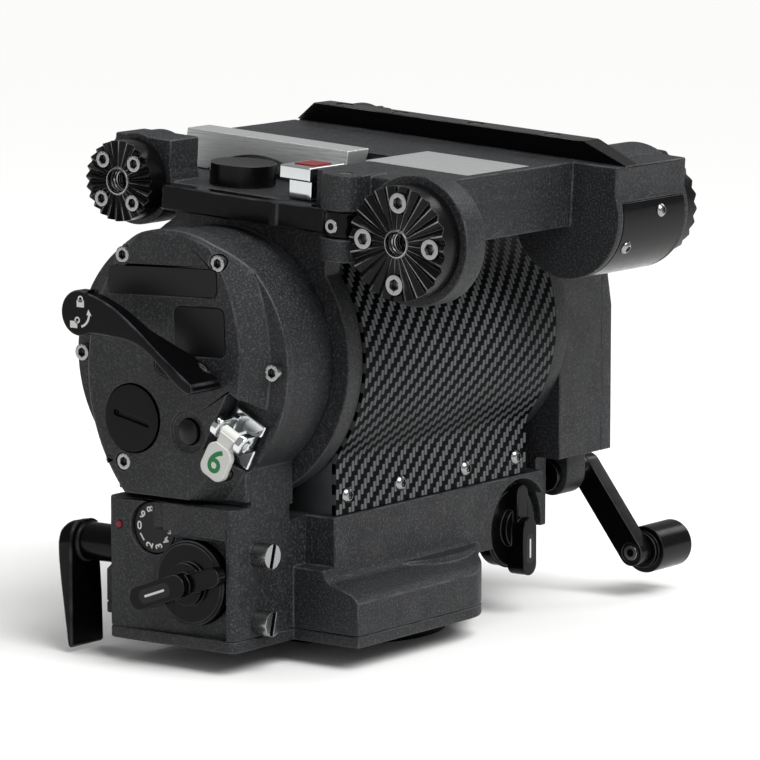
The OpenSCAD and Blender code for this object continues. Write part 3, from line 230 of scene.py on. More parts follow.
def place_mm(tree):
    """Object coordinates in millimetres."""
    where = add(tree, "ShaderNodeTexCoord").outputs["Object"]
    scaled = add(tree, "ShaderNodeVectorMath", {0: where, "Scale": 1 / MM}, operation="SCALE")
    return scaled.outputs["Vector"]


def noise(tree, place, grain_mm, detail=2.0):
    """Noise whose grains are about this many millimetres wide."""
    texture = add(tree, "ShaderNodeTexNoise", {"Vector": place, "Scale": 1 / grain_mm, "Detail": detail})
    return texture.outputs["Fac"]


def patches(tree, place):
    """Broad patches of wear."""
    return noise(tree, place, grain_mm=14, detail=3.0)


def roughen(tree, shader, texture, least, most, start=0.3, end=0.7):
    """Roughness that follows a texture between two values."""
    tree.links.new(ranged(tree, texture, start, end, least, most), shader.inputs["Roughness"])


def emboss(tree, shader, height, strength, depth_mm):
    """Fine relief that follows a texture."""
    bump = add(tree, "ShaderNodeBump", {"Height": height, "Strength": strength, "Distance": depth_mm * MM})
    tree.links.new(bump.outputs["Normal"], shader.inputs["Normal"])


def mixed(tree, factor, first, second):
    """Colour output of a Mix node, whose colour sockets share their names with its other types."""
    mix = add(tree, "ShaderNodeMix", {"Factor": factor}, data_type="RGBA")
    colours = [socket for socket in mix.inputs if socket.type == "RGBA"]
    for socket, value in zip(colours, (first, second)):
        if isinstance(value, bpy.types.NodeSocket):
            tree.links.new(value, socket)
        else:
            socket.default_value = value
    return [socket for socket in mix.outputs if socket.type == "RGBA"][0]


def rubbed_edges(tree, shader, place, fresh, wear_and_highlight, most, narrow=1.0):
    """Base colour that pales in patches along the marked edges, partly as wear and partly as a painted highlight;
    a high narrow thins the pale line.
    """
    patchiness = ranged(tree, patches(tree, place), start=0.35, end=0.7, most=most)
    edge = add(tree, "ShaderNodeAttribute", attribute_name="wear_and_highlight").outputs["Fac"]
    # The pale line along the edges is partly wear and partly a painted highlight.
    wear_and_highlight_share = calc(tree, "MULTIPLY", calc(tree, "POWER", edge, narrow), patchiness)
    tree.links.new(mixed(tree, wear_and_highlight_share, fresh, wear_and_highlight), shader.inputs["Base Color"])


def powder_coat():
    """Powder-coated castings: sprayed and baked, so a leathery grain breaks the light; edges are painted paler,
    partly as wear and partly as a painted highlight.
    """
    look = finishes()
    material, tree, shader = new_material(
        "powder_coat", look.powder_coat, roughness=0.48, Specular_IOR_Level=0.36
    )
    if tree is None:
        return material
    place = place_mm(tree)
    grain = noise(tree, place, grain_mm=0.85)
    specks = ranged(tree, grain, start=0.5, end=0.72)
    speckled = mixed(tree, specks, look.powder_coat, look.powder_speck)
    rubbed_edges(tree, shader, place, speckled, look.rubbed_coat, most=0.55)
    roughen(tree, shader, patches(tree, place), least=0.44, most=0.6)
    emboss(tree, shader, grain, strength=0.9, depth_mm=0.3)
    return material


def black_anodised():
    """Black anodised aluminium: dyed dark with a fine grain; sharp crests and edges are painted pale, partly as
    worn dye and partly as a painted highlight.
    """
    look = finishes()
    material, tree, shader = new_material(
        "black_anodising", look.anodised, roughness=0.28, Specular_IOR_Level=0.16
    )
    if tree is None:
        return material
    place = place_mm(tree)
    grain = noise(tree, place, grain_mm=0.5, detail=3.0)
    rubbed_edges(tree, shader, place, look.anodised, look.rubbed_anodised, most=1.0, narrow=7.0)
    roughen(tree, shader, grain, least=0.22, most=0.34)
    emboss(tree, shader, grain, strength=0.08, depth_mm=0.03)
    return material


def gloss_black():
    """Gloss black lacquer over metal: smooth, with a slight orange peel that softens reflections, and a painted
    highlight along the edges.
    """
    look = finishes()
    material, tree, shader = new_material(
        "gloss_black_lacquer", look.gloss_black, roughness=0.2, Specular_IOR_Level=0.12
    )
    if tree is None:
        return material
    place = place_mm(tree)
    peel = noise(tree, place, grain_mm=3.5)
    rubbed_edges(tree, shader, place, look.gloss_black, look.rubbed_lacquer, most=0.6)
    roughen(tree, shader, peel, least=0.16, most=0.26)
    emboss(tree, shader, peel, strength=0.1, depth_mm=0.1)
    return material


def satin_black():
    """Moulded satin plastic: finely eroded, with soft highlights."""
    material, tree, shader = new_material(
        "satin_black_plastic", finishes().satin_black, roughness=0.4, Specular_IOR_Level=0.25
    )
    if tree is not None:
        grain = noise(tree, place_mm(tree), grain_mm=0.4)
        emboss(tree, shader, grain, strength=0.15, depth_mm=0.05)
    return material


def metal(name, base, roughness, grain_mm, stretch, lines=0.3):
    """Bare metal whose grain is drawn out along one axis, as brushing or grinding leaves it."""
    material, tree, shader = new_material(name, base, roughness, metallic=1.0)
    if tree is None:
        return material
    drawn = add(tree, "ShaderNodeMapping", {"Vector": place_mm(tree), "Scale": stretch})
    grain = noise(tree, drawn.outputs["Vector"], grain_mm, detail=3.0)
    dull = (*(channel * 0.35 for channel in base[:3]), 1)
    scratched = mixed(tree, ranged(tree, grain, start=0.35, end=0.75, most=lines), base, dull)
    tree.links.new(scratched, shader.inputs["Base Color"])
    roughen(tree, shader, grain, least=roughness * 0.75, most=roughness * 1.3, start=0.25, end=0.75)
    emboss(tree, shader, grain, strength=0.08, depth_mm=0.05)
    return material


def stainless():
    """Stainless cap screws: cold-headed and tumbled bright, with painted shade darkening their sockets and slots.
    """
    look = finishes()
    material, tree, shader = new_material("stainless_steel", look.stainless, roughness=0.22, metallic=1.0)
    if tree is None:
        return material
    # Ambient occlusion pulls the sockets and slots towards the dark colour: painted shade.
    open_air = add(tree, "ShaderNodeAmbientOcclusion", {"Distance": 2.2 * MM}, samples=8, only_local=True)
    unshaded_share = ranged(tree, open_air.outputs["AO"], start=0.45, end=0.95)
    tree.links.new(mixed(tree, unshaded_share, look.grease, look.stainless), shader.inputs["Base Color"])
    return material


def chrome():
    """Chrome plate on a die casting: nearly a mirror, with faint ripples."""
    return metal(
        "chrome_plate", finishes().chrome, roughness=0.1, grain_mm=4.0, stretch=(1, 1, 1), lines=0.05
    )


def brushed_aluminium():
    """Brushed aluminium: a soft sheen with lines along the jaw's length."""
    return metal(
        "brushed_aluminium", finishes().jaw_metal,
        roughness=0.5, grain_mm=0.5, stretch=(1, 0.03, 1), lines=0.6,
    )


def machined_aluminium():
    """Machined aluminium: fine tool lines on the pieces inside the housings."""
    return metal(
        "machined_aluminium", finishes().inner_metal, roughness=0.36, grain_mm=0.6, stretch=(0.1, 1, 1)
    )


def ground_steel():
    """Ground steel: a bright, close grain on bearings, axle, spindle and thread inserts."""
    return metal("ground_steel", finishes().stainless, roughness=0.2, grain_mm=0.5, stretch=(0.1, 1, 1))


def cut_brass():
    """Cut brass: a warm, even gleam on the gear wheels."""
    return metal("cut_brass", finishes().brass, roughness=0.28, grain_mm=0.5, stretch=(1, 1, 1))


def enamel(name, base):
    """Baked enamel: a thin flat paint with a soft gloss."""
    material, tree, shader = new_material(name, base, roughness=0.35, Specular_IOR_Level=0.4)
    if tree is not None:
        peel = noise(tree, place_mm(tree), grain_mm=1.2)
        emboss(tree, shader, peel, strength=0.1, depth_mm=0.04)
    return material


def white_enamel():
    """White enamel of the tag, the figures and the signs."""
    return enamel("white_enamel", finishes().white_enamel)


def brake_lining():
    """Brake lining: pressed fibre, dull and flecked."""
    material, tree, shader = new_material("brake_lining", finishes().lining, roughness=0.8)
    if tree is not None:
        flecks = noise(tree, place_mm(tree), grain_mm=0.8, detail=4.0)
        emboss(tree, shader, flecks, strength=0.3, depth_mm=0.1)
    return material


def carbon_twill():
    """Carbon cloth under clear lacquer: a 2 by 2 twill of flat tows, whose crowns climb to the right; the raised
    warp tows carry a painted sheen.
    """
    look = finishes()
    material, tree, shader = new_material(
        "carbon_twill", look.tow_dark, roughness=0.36,
        Specular_IOR_Level=0.02, Coat_Weight=0.02, Coat_Roughness=0.06,
    )
    if tree is None:
        return material
    laid = add(tree, "ShaderNodeUVMap", uv_map="cloth")
    split = add(tree, "ShaderNodeSeparateXYZ", {"Vector": laid.outputs["UV"]})
    across = calc(tree, "DIVIDE", split.outputs["X"], sizes().tow)
    along = calc(tree, "DIVIDE", split.outputs["Y"], sizes().tow)
    tows_apart = calc(tree, "SUBTRACT", calc(tree, "FLOOR", across), calc(tree, "FLOOR", along))
    warp_up = calc(tree, "LESS_THAN", calc(tree, "FLOORED_MODULO", tows_apart, 4.0), 2.0)
    weft_up = calc(tree, "SUBTRACT", 1.0, warp_up)
    warp_crown = calc(tree, "SINE", calc(tree, "MULTIPLY", calc(tree, "FRACT", across), math.pi))
    weft_crown = calc(tree, "SINE", calc(tree, "MULTIPLY", calc(tree, "FRACT", along), math.pi))
    warp_rise = calc(tree, "MULTIPLY", warp_up, warp_crown)
    weft_rise = calc(tree, "MULTIPLY", weft_up, weft_crown)
    # Raised warp tows are painted pale across their crowns: painted sheen.
    flat_crown = calc(tree, "MINIMUM", calc(tree, "MULTIPLY", warp_crown, 1.35), 1.0)
    painted_sheen = calc(tree, "MULTIPLY", warp_up, flat_crown)
    tree.links.new(mixed(tree, painted_sheen, look.tow_dark, look.tow_light), shader.inputs["Base Color"])
    emboss(tree, shader, calc(tree, "ADD", warp_rise, weft_rise), strength=0.35, depth_mm=0.12)
    return material


def floor_paper():
    """White paper for the camera and for reflections, which throws only part of its light back."""
    white = rgb("#fcfcfb")
    shaded = rgb("#aaaaaa")
    material, tree, shader = new_material("floor_paper", white, roughness=0.9, Specular_IOR_Level=0.0)
    if tree is None:
        return material
    ray = add(tree, "ShaderNodeLightPath")
    seen = ray.outputs["Is Camera Ray"]
    for kind in ("Is Glossy Ray", "Is Transmission Ray"):
        seen = calc(tree, "MAXIMUM", seen, ray.outputs[kind])
    tree.links.new(mixed(tree, seen, shaded, white), shader.inputs["Base Color"])
    return material


def link(name, mesh):
    """A new object at the origin that holds the mesh."""
    piece = bpy.data.objects.new(name, mesh)
    bpy.context.scene.collection.objects.link(piece)
    return piece


def settle(piece, body, slot, *nodes):
    """Puts a finished piece on its body and in place of its nodes; its material slot is not used."""
    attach(piece, body)
    if nodes:
        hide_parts(*nodes)
    return piece


def applied(piece):
    """Turns the piece's modifiers into its mesh."""
    graph = bpy.context.evaluated_depsgraph_get()
    mesh = bpy.data.meshes.new_from_object(piece.evaluated_get(graph))
    piece.modifiers.clear()
    piece.data = mesh
    return piece


def shade(mesh, angle=32):
    """Smooth shading that keeps edges sharper than the angle."""
    mesh.polygons.foreach_set("use_smooth", [True] * len(mesh.polygons))
    mesh.set_sharp_from_angle(angle=math.radians(angle))


def weigh_edges(form, sharp_angle=30, tight_angle=25):
    """Marks the sharp edges that are to be rounded, apart from those that run into a needle-like corner."""
    weight = form.edges.layers.float.new("bevel_weight_edge")
    least = math.radians(sharp_angle)
    sharp = {edge for edge in form.edges if edge.is_manifold and edge.calc_face_angle() > least}
    tight = set()
    for face in form.faces:
        for loop in face.loops:
            both = loop.edge in sharp and loop.link_loop_prev.edge in sharp
            if both and loop.calc_angle() < math.radians(tight_angle):
                tight.add(loop.vert)
    for edge in sharp:
        if not tight.intersection(edge.verts):
            edge[weight] = 1.0


def mark_rubbed(mesh):
    """Marks the crest of each rounded edge, where the finish is painted paler as wear and as a painted highlight,
    and leaves the mesh one material.
    """
    flat = {corner for face in mesh.polygons if face.material_index == 0 for corner in face.vertices}
    wear_and_highlight = mesh.attributes.new("wear_and_highlight", "FLOAT", "POINT")
    wear_and_highlight.data.foreach_set("value", [0.0 if i in flat else 1.0 for i in range(len(mesh.vertices))])
    mesh.polygons.foreach_set("material_index", [0] * len(mesh.polygons))
    mesh.materials.pop(index=1)


def dressed(node, material, edge, segments=2):
    """A copy of a solid with its triangles merged and its sharp edges rounded, in place of the solid."""
    mesh = NODES[node].data.copy()
    mesh.materials.clear()
    for _ in range(2):
        mesh.materials.append(material)
    form = bmesh.new()
    form.from_mesh(mesh)
    bmesh.ops.remove_doubles(form, verts=form.verts, dist=0.002 * MM)
    bmesh.ops.dissolve_limit(form, angle_limit=math.radians(0.5), verts=form.verts, edges=form.edges)
    many_sided = [face for face in form.faces if len(face.verts) > 4]
    bmesh.ops.triangulate(form, faces=many_sided, quad_method="BEAUTY", ngon_method="BEAUTY")
    weigh_edges(form)
    for face in form.faces:
        face.material_index = 0
    form.to_mesh(mesh)
    form.free()
    piece = link(node + "_dressed", mesh)
    bevel = piece.modifiers.new("edge", "BEVEL")
    bevel.width = edge
    bevel.segments = segments
    bevel.limit_method = "WEIGHT"
    bevel.loop_slide = False
    bevel.use_clamp_overlap = False
    bevel.miter_outer = "MITER_ARC"
    bevel.material = 1
    applied(piece)
    mark_rubbed(piece.data)
    shade(piece.data)
    even = piece.modifiers.new("even", "WEIGHTED_NORMAL")
    even.keep_sharp = True
    applied(piece)
    return settle(piece, BODY_OF[node], SLOT_OF[node], node)


def paint_solid(node, material):
    """Gives a solid that stays as it is its own finish."""
    mesh = NODES[node].data
    mesh.materials.clear()
    mesh.materials.append(material)


def figure(text, height, thickness, bold=0.018):
    """A flat figure as a mesh, centred on the origin, that faces +Z."""
    font_size = 1.4 * height
    curve = bpy.data.curves.new("figure", "FONT")
    curve.body = text
    curve.size = font_size
    curve.align_x = "CENTER"
    curve.align_y = "CENTER"
    curve.extrude = thickness / 2
    curve.offset = height * bold
    carrier = link("figure", curve)
    graph = bpy.context.evaluated_depsgraph_get()
    mesh = bpy.data.meshes.new_from_object(carrier.evaluated_get(graph))
    bpy.data.objects.remove(carrier)
    return mesh


def ring(inner, outer, height, broken, sides=48, flare=0.0):
    """A ring about Z that stands on the origin; its outer top edge is broken, and flare widens its top."""
    form = bmesh.new()
    loops = []
    wide = outer + flare
    for radius, z in (
        (inner, 0), (outer, 0), (wide, height - broken), (wide - broken, height), (inner + flare, height)
    ):
        turns = [2 * math.pi * i / sides for i in range(sides)]
        loops.append([form.verts.new((radius * math.cos(t), radius * math.sin(t), z)) for t in turns])
    for low, high in zip(loops, loops[1:] + loops[:1]):
        for i in range(sides):
            form.faces.new((low[i], low[i - 1], high[i - 1], high[i]))
    bmesh.ops.recalc_face_normals(form, faces=form.faces)
    mesh = bpy.data.meshes.new("ring")
    form.to_mesh(mesh)
    form.free()
    return mesh


def slab(outline, thickness):
    """A flat closed mesh with this outline, that stands on the origin and faces +Z."""
    form = bmesh.new()
    face = form.faces.new([form.verts.new((x, y, 0)) for x, y in outline])
    raised = bmesh.ops.extrude_face_region(form, geom=[face], use_keep_orig=True)["geom"]
    corners = [part for part in raised if isinstance(part, bmesh.types.BMVert)]
    bmesh.ops.translate(form, vec=(0, 0, thickness), verts=corners)
    bmesh.ops.recalc_face_normals(form, faces=form.faces)
    mesh = bpy.data.meshes.new("slab")
    form.to_mesh(mesh)
    form.free()
    return mesh


def stroke(reach, width, thickness, sides=12):
    """A flat bar with round ends along Y, centred on the origin."""
    end = (reach - width) / 2
    turns = [math.pi * i / sides for i in range(sides + 1)]
    upper = [(width / 2 * math.cos(t), end + width / 2 * math.sin(t)) for t in turns]
    return slab(upper + [(-x, -y) for x, y in upper], thickness)


def curved_arrow(radius, width, start, sweep, thickness, sides=20):
    """A flat arrow that bends round the origin, from the angle start over the angle sweep."""
    turns = [start + sweep * i / sides for i in range(sides + 1)]

    def at(reach, turn):
        return reach * math.cos(turn), reach * math.sin(turn)

    outer = [at(radius + width / 2, t) for t in turns]
    inner = [at(radius - width / 2, t) for t in reversed(turns)]
    head_half = 1.4 * width
    head_reach = 2.6 * width
    tip = turns[-1] + math.copysign(head_reach / radius, sweep)
    head = [at(radius + head_half, turns[-1]), at(radius, tip), at(radius - head_half, turns[-1])]
    return slab(outer + head + inner, thickness)


def joined(name, meshes, material):
    """One mesh object made of several meshes."""
    form = bmesh.new()
    for mesh in meshes:
        form.from_mesh(mesh)
    whole = bpy.data.meshes.new(name)
    form.to_mesh(whole)
    form.free()
    whole.materials.append(material)
    for polygon in whole.polygons:
        polygon.material_index = 0
    return link(name, whole)


def facing(place, out, up):
    """Matrix that puts a piece drawn facing +Z, with +Y up, at a place facing out."""
    out = out.normalized()
    side = up.cross(out).normalized()
    turned = Matrix((side, out.cross(side), out)).transposed()
    return Matrix.Translation(place) @ turned.to_4x4()


def thread_tree(material):
    """Geometry nodes that wind a thread: a round wire along a spiral."""
    tree = bpy.data.node_groups.get("thread") or bpy.data.node_groups.new("thread", "GeometryNodeTree")
    if tree.nodes:
        return tree
    tree.interface.new_socket("Geometry", in_out="INPUT", socket_type="NodeSocketGeometry")
    for name in ("Radius", "Mouth", "Pitch", "Turns", "Wire"):
        tree.interface.new_socket(name, in_out="INPUT", socket_type="NodeSocketFloat")
    tree.interface.new_socket("Geometry", in_out="OUTPUT", socket_type="NodeSocketGeometry")
    given = add(tree, "NodeGroupInput").outputs
    spiral = add(
        tree, "GeometryNodeCurveSpiral",
        {"Resolution": 32, "Rotations": given["Turns"], "Start Radius": given["Radius"],
         "End Radius": given["Mouth"], "Height": calc(tree, "MULTIPLY", given["Pitch"], given["Turns"])},
    )
    wire = add(tree, "GeometryNodeCurvePrimitiveCircle", {"Resolution": 4, "Radius": given["Wire"]})
    tube = add(
        tree, "GeometryNodeCurveToMesh",
        {"Curve": spiral.outputs["Curve"], "Profile Curve": wire.outputs["Curve"], "Fill Caps": True},
    )
    real = add(tree, "GeometryNodeRealizeInstances", {"Geometry": tube.outputs["Mesh"]})
    coated = add(
        tree, "GeometryNodeSetMaterial", {"Geometry": real.outputs["Geometry"], "Material": material}
    )
    add(tree, "NodeGroupOutput", {"Geometry": coated.outputs["Geometry"]})
    return tree


def grown(tree, **inputs):
    """The mesh that a geometry tree makes with these inputs."""
    carrier = link("grown", bpy.data.meshes.new("grown"))
    modifier = carrier.modifiers.new("tree", "NODES")
    modifier.node_group = tree
    for item in tree.interface.items_tree:
        if item.in_out == "INPUT" and item.name in inputs:
            modifier[item.identifier] = inputs[item.name]
    mesh = applied(carrier).data
    bpy.data.objects.remove(carrier)
    return mesh


class HEAD_OT_castings(bpy.types.Operator):
    """Rounds and coats the painted castings"""

    bl_idname = "head.castings"
    bl_label = "Castings"

    def execute(self, context):
        coat = powder_coat()
        edge = sizes().casting_edge
        for node in ("base_casting", "bottom_plate", "side_cover", "right_tower", "tower_cover",
                     "platform_casting", "cheeks"):
            dressed(node, coat, edge)
        return {"FINISHED"}


class HEAD_OT_carbon_cover(bpy.types.Operator):
    """Wraps the tilt unit in a sheet of carbon cloth"""

    bl_idname = "head.carbon_cover"
    bl_label = "Carbon cover"

    def execute(self, context):
        size = sizes()
        low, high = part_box("carbon_cover")
        drum = (high.y - low.y) / 2
        outer = self.profile(drum, size.flange_half, size.blend_radius)
        thick = size.sheet
        inner = self.profile(drum - thick, size.flange_half - thick, size.blend_radius + thick)
        mesh = bpy.data.meshes.new("carbon_sheet")
        form = bmesh.new()
        cloth = form.loops.layers.uv.new("cloth")
        run = [0.0]
        for first, second in zip(outer, outer[1:]):
            run.append(run[-1] + math.dist(first, second))
        columns = []
        for x in (low.x, high.x):
            columns.append([[form.verts.new((x, y, z)) for y, z in points] for points in (outer, inner)])
        (left_out, left_in), (right_out, right_in) = columns
        last = len(outer) - 1
        quads = []
        for i in range(last):
            quads.append((left_out[i], right_out[i], right_out[i + 1], left_out[i + 1]))
            quads.append((left_in[i], left_in[i + 1], right_in[i + 1], right_in[i]))
            quads.append((left_out[i], left_out[i + 1], left_in[i + 1], left_in[i]))
            quads.append((right_out[i], right_in[i], right_in[i + 1], right_out[i + 1]))
        for i in (0, last):
            quads.append((left_out[i], left_in[i], right_in[i], right_out[i]))
        rows = [row for pair in columns for row in pair]
        place = {vert: (vert.co.x, run[i]) for row in rows for i, vert in enumerate(row)}
        for quad in quads:
            face = form.faces.new(quad)
            for loop in face.loops:
                loop[cloth].uv = place[loop.vert]
        bmesh.ops.recalc_face_normals(form, faces=form.faces)
        form.to_mesh(mesh)
        form.free()
        mesh.materials.append(carbon_twill())
        shade(mesh)
        settle(link("carbon_sheet", mesh), "head", "carbon", "carbon_cover")
        return {"FINISHED"}

    @staticmethod
    def profile(drum, flange, blend):
        """Outline of the sheet from the rear flange over the drum to the front flange, in Y and Z."""
        hollow = flange + blend
        drop = math.sqrt((drum + blend) ** 2 - hollow ** 2)
        lean = math.atan2(drop, hollow)
        rear = [(-flange, sizes().flange_bottom)]
        hollow_steps = 6
        for i in range(hollow_steps + 1):
            turn = lean * i / hollow_steps
            rear.append((-hollow + blend * math.cos(turn), TILT_AXIS_Z - drop + blend * math.sin(turn)))
        over = []
        drum_steps = 90
        for i in range(1, drum_steps):
            turn = math.pi + lean - (math.pi + 2 * lean) * i / drum_steps
            over.append((drum * math.cos(turn), TILT_AXIS_Z + drum * math.sin(turn)))
        front = [(-y, z) for y, z in reversed(rear)]
        return rear + over + front


class HEAD_OT_rosettes(bpy.types.Operator):
    """Finishes the toothed rosettes and winds the threads of their centre holes"""

    bl_idname = "head.rosettes"
    bl_label = "Rosettes"

    def execute(self, context):
        black = black_anodised()
        threaded = [mount for mount in RECORD["mounts"] if mount["kind"] == "threaded_hole"]
        holes = [mount for mount in threaded if mount["name"] != "foot_thread"]
        for node in ("rear_rosettes", "front_rosettes"):
            self.wear_in(dressed(node, black, sizes().tooth_edge), holes)
        steel = ground_steel()
        tree = thread_tree(steel)
        meshes = []
        pitch = sizes().thread_pitch
        flare = sizes().flare
        turns = 6.5
        wire = 0.42 * pitch
        sink = 0.6 * MM
        up = Vector((0, 0, 1))
        for mount in holes:
            out = Vector(mount["axis"])
            seat = Vector((out.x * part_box("rear_rosettes")[1].x, *mount["pos_m"][1:]))
            bottom = seat - out * (pitch * turns + sink)
            radius = mount["dims"]["r_mm"] * MM
            mouth = radius + flare
            wound = grown(tree, Radius=radius, Mouth=mouth, Pitch=pitch, Turns=turns, Wire=wire)
            wound.transform(Matrix.Translation(bottom) @ out.to_track_quat("Z", "Y").to_matrix().to_4x4())
            rim = ring(mouth - 0.1 * MM, mouth + 0.4 * MM, height=0.2 * MM, broken=0.1 * MM)
            rim.transform(facing(seat, out, up))
            sleeve = ring(
                radius - 0.35 * MM, radius - 0.05 * MM, height=pitch * turns, broken=0.1 * MM, flare=flare
            )
            sleeve.transform(facing(bottom, out, up))
            meshes += [wound, rim, sleeve]
        threads = joined("rosette_threads", meshes, steel)
        shade(threads.data, angle=60)
        settle(threads, "platform", "bearing_steel")
        return {"FINISHED"}

    @staticmethod
    def wear_in(piece, holes):
        """Marks the teeth's crests to be painted pale, partly as wear from the mating half and partly as a painted
        highlight, and widens the holes' mouths.
        """
        bore = 4.6 * MM
        crest = 0.05 * MM
        mesh = piece.data
        face = max(abs(vertex.co.x) for vertex in mesh.vertices)
        depth = face - min(abs(vertex.co.x) for vertex in mesh.vertices)
        wear_and_highlight = mesh.attributes["wear_and_highlight"].data
        for vertex in mesh.vertices:
            spokes = [vertex.co - Vector(hole["pos_m"]) for hole in holes]
            spoke = min(spokes, key=lambda each: each.length)
            spoke.x = 0
            if spoke.length < bore:
                open_share = 1 - (face - abs(vertex.co.x)) / depth
                vertex.co += spoke.normalized() * sizes().flare * open_share
            # Crests get the pale edge colour: partly wear, partly a painted highlight.
            elif abs(vertex.co.x) > face - crest:
                wear_and_highlight[vertex.index].value = 1.0


class HEAD_OT_screws(bpy.types.Operator):
    """Brightens the screws of the covers, rosettes, plates and rail"""

    bl_idname = "head.screws"
    bl_label = "Screws"

    def execute(self, context):
        steel = stainless()
        for node in ("bottom_plate_screws", "column_screws", "side_cover_screws", "carbon_cover_screws",
                     "tower_cover_screws", "rosette_screws", "platform_screws"):
            dressed(node, steel, sizes().screw_edge)
        return {"FINISHED"}


class HEAD_OT_levers(bpy.types.Operator):
    """Rounds the brake levers and the release lever, and adds their marks and pin screw"""

    bl_idname = "head.levers"
    bl_label = "Levers"

    def execute(self, context):
        lacquer = gloss_black()
        for node in ("tilt_brake_lever", "release_lever"):
            dressed(node, lacquer, sizes().lever_edge, segments=3)
        dressed("pan_brake_lever", lacquer, sizes().paddle_edge, segments=3)
        self.pad_marks()
        self.pin_screw()
        return {"FINISHED"}

    @staticmethod
    def pad_marks():
        """A shut lock, an open lock and the way to turn, in white on the tilt lever's pad."""
        low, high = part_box("tilt_brake_lever")
        pad = sizes().pad_radius
        deep = sizes().mark
        square = ((-1, -1), (1, -1), (1, 1), (-1, 1))
        arrow = curved_arrow(
            radius=pad * 0.58, width=pad * 0.1,
            start=math.radians(-75), sweep=math.radians(70), thickness=deep,
        )
        meshes = [arrow]
        for place, shift in (((0.1, 0.42), 0), ((-0.28, -0.5), 0.2)):
            body = slab([(x * pad * 0.2, y * pad * 0.15) for x, y in square], deep)
            shackle = ring(inner=pad * 0.08, outer=pad * 0.15, height=deep, broken=deep / 2, sides=24)
            body.transform(Matrix.Translation((place[0] * pad, place[1] * pad, 0)))
            shackle.transform(Matrix.Translation(((place[0] + shift) * pad, (place[1] + 0.2) * pad, 0)))
            meshes += [body, shackle]
        proud = 0.03 * MM
        place = Vector((low.x + deep - proud, high.y - pad, high.z - pad))
        for mesh in meshes:
            mesh.transform(facing(place, Vector((-1, 0, 0)), Vector((0, 0, 1))))
        settle(joined("tilt_lever_marks", meshes, white_enamel()), "tilt_lever", "tag_white")

    @staticmethod
    def pin_screw():
        """Rim of the socket screw that holds the release lever on its pin."""
        place = Vector(JOINTS["release"]["pos_m"])
        out = Vector((-1, 0, 0))
        sunk = 0.3 * MM
        rim = ring(inner=1.5 * MM, outer=3 * MM, height=0.6 * MM, broken=0.3 * MM)
        rim.transform(facing(place + out * (sizes().knuckle - sunk), out, DECK_UP))
        settle(joined("release_pin_screw", [rim], stainless()), "release_lever", "bearing_steel")


class HEAD_OT_knobs(bpy.types.Operator):
    """Finishes the drag knobs and the numbered dial"""

    bl_idname = "head.knobs"
    bl_label = "Knobs and dial"

    def execute(self, context):
        lacquer = gloss_black()
        for node in ("pan_fluid_knob", "tilt_fluid_knob"):
            dressed(node, lacquer, sizes().knob_edge, segments=3)
        dressed("fluid_dial", satin_black(), sizes().machined_edge)
        low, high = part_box("fluid_dial")
        centre = Vector((low.x, (low.y + high.y) / 2, (low.z + high.z) / 2))
        out = Vector((-1, 0, 0))
        circle = 0.74 * (high.y - low.y) / 2
        thick = 0.1 * MM
        count = 10
        paint = white_enamel()
        meshes = []
        for number in range(count):
            turn = 2 * math.pi * number / count
            radial = Vector((0, math.cos(turn), -math.sin(turn)))
            up = Vector((0, math.sin(turn), math.cos(turn)))
            mesh = figure(str(number), sizes().digit, thick, bold=0.03)
            mesh.transform(facing(centre + radial * circle, out, up))
            meshes.append(mesh)
        settle(joined("dial_numbers", meshes, paint), "dial", "tag_white")
        self.bar_marks(paint)
        return {"FINISHED"}

    @staticmethod
    def bar_marks(paint):
        """A sunk satin field with a white pointer line on each knob's finger bar."""
        half = sizes().bar_half
        pan_low, pan_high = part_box("pan_fluid_knob")
        tilt_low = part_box("tilt_fluid_knob")[0]
        pan = Vector(JOINTS["pan_drag"]["pos_m"])
        tilt = Vector(JOINTS["tilt_drag"]["pos_m"])
        pan.x = pan_low.x
        tilt.y = tilt_low.y
        pan_tip = Vector((pan.x, pan_high.y - half, pan.z - sizes().bar_drop))
        tilt_tip = Vector((tilt.x, tilt.y, tilt_low.z + half))
        middle = 0.55
        for name, body, pivot, tip, out in (
            ("pan", "pan_knob", pan, pan_tip, Vector((-1, 0, 0))),
            ("tilt", "tilt_knob", tilt, tilt_tip, Vector((0, -1, 0))),
        ):
            place = facing(pivot.lerp(tip, middle), out, tip - pivot)
            bar = (tip - pivot).length
            field = stroke(reach=bar * 0.85, width=half * 1.2, thickness=sizes().mark / 2)
            line = stroke(reach=bar * 0.55, width=half * 0.2, thickness=sizes().mark)
            for mesh in (field, line):
                mesh.transform(place)
            settle(joined(name + "_bar_field", [field], satin_black()), body, SLOT_OF["pan_fluid_knob"])
            settle(joined(name + "_bar_line", [line], paint), body, "tag_white")


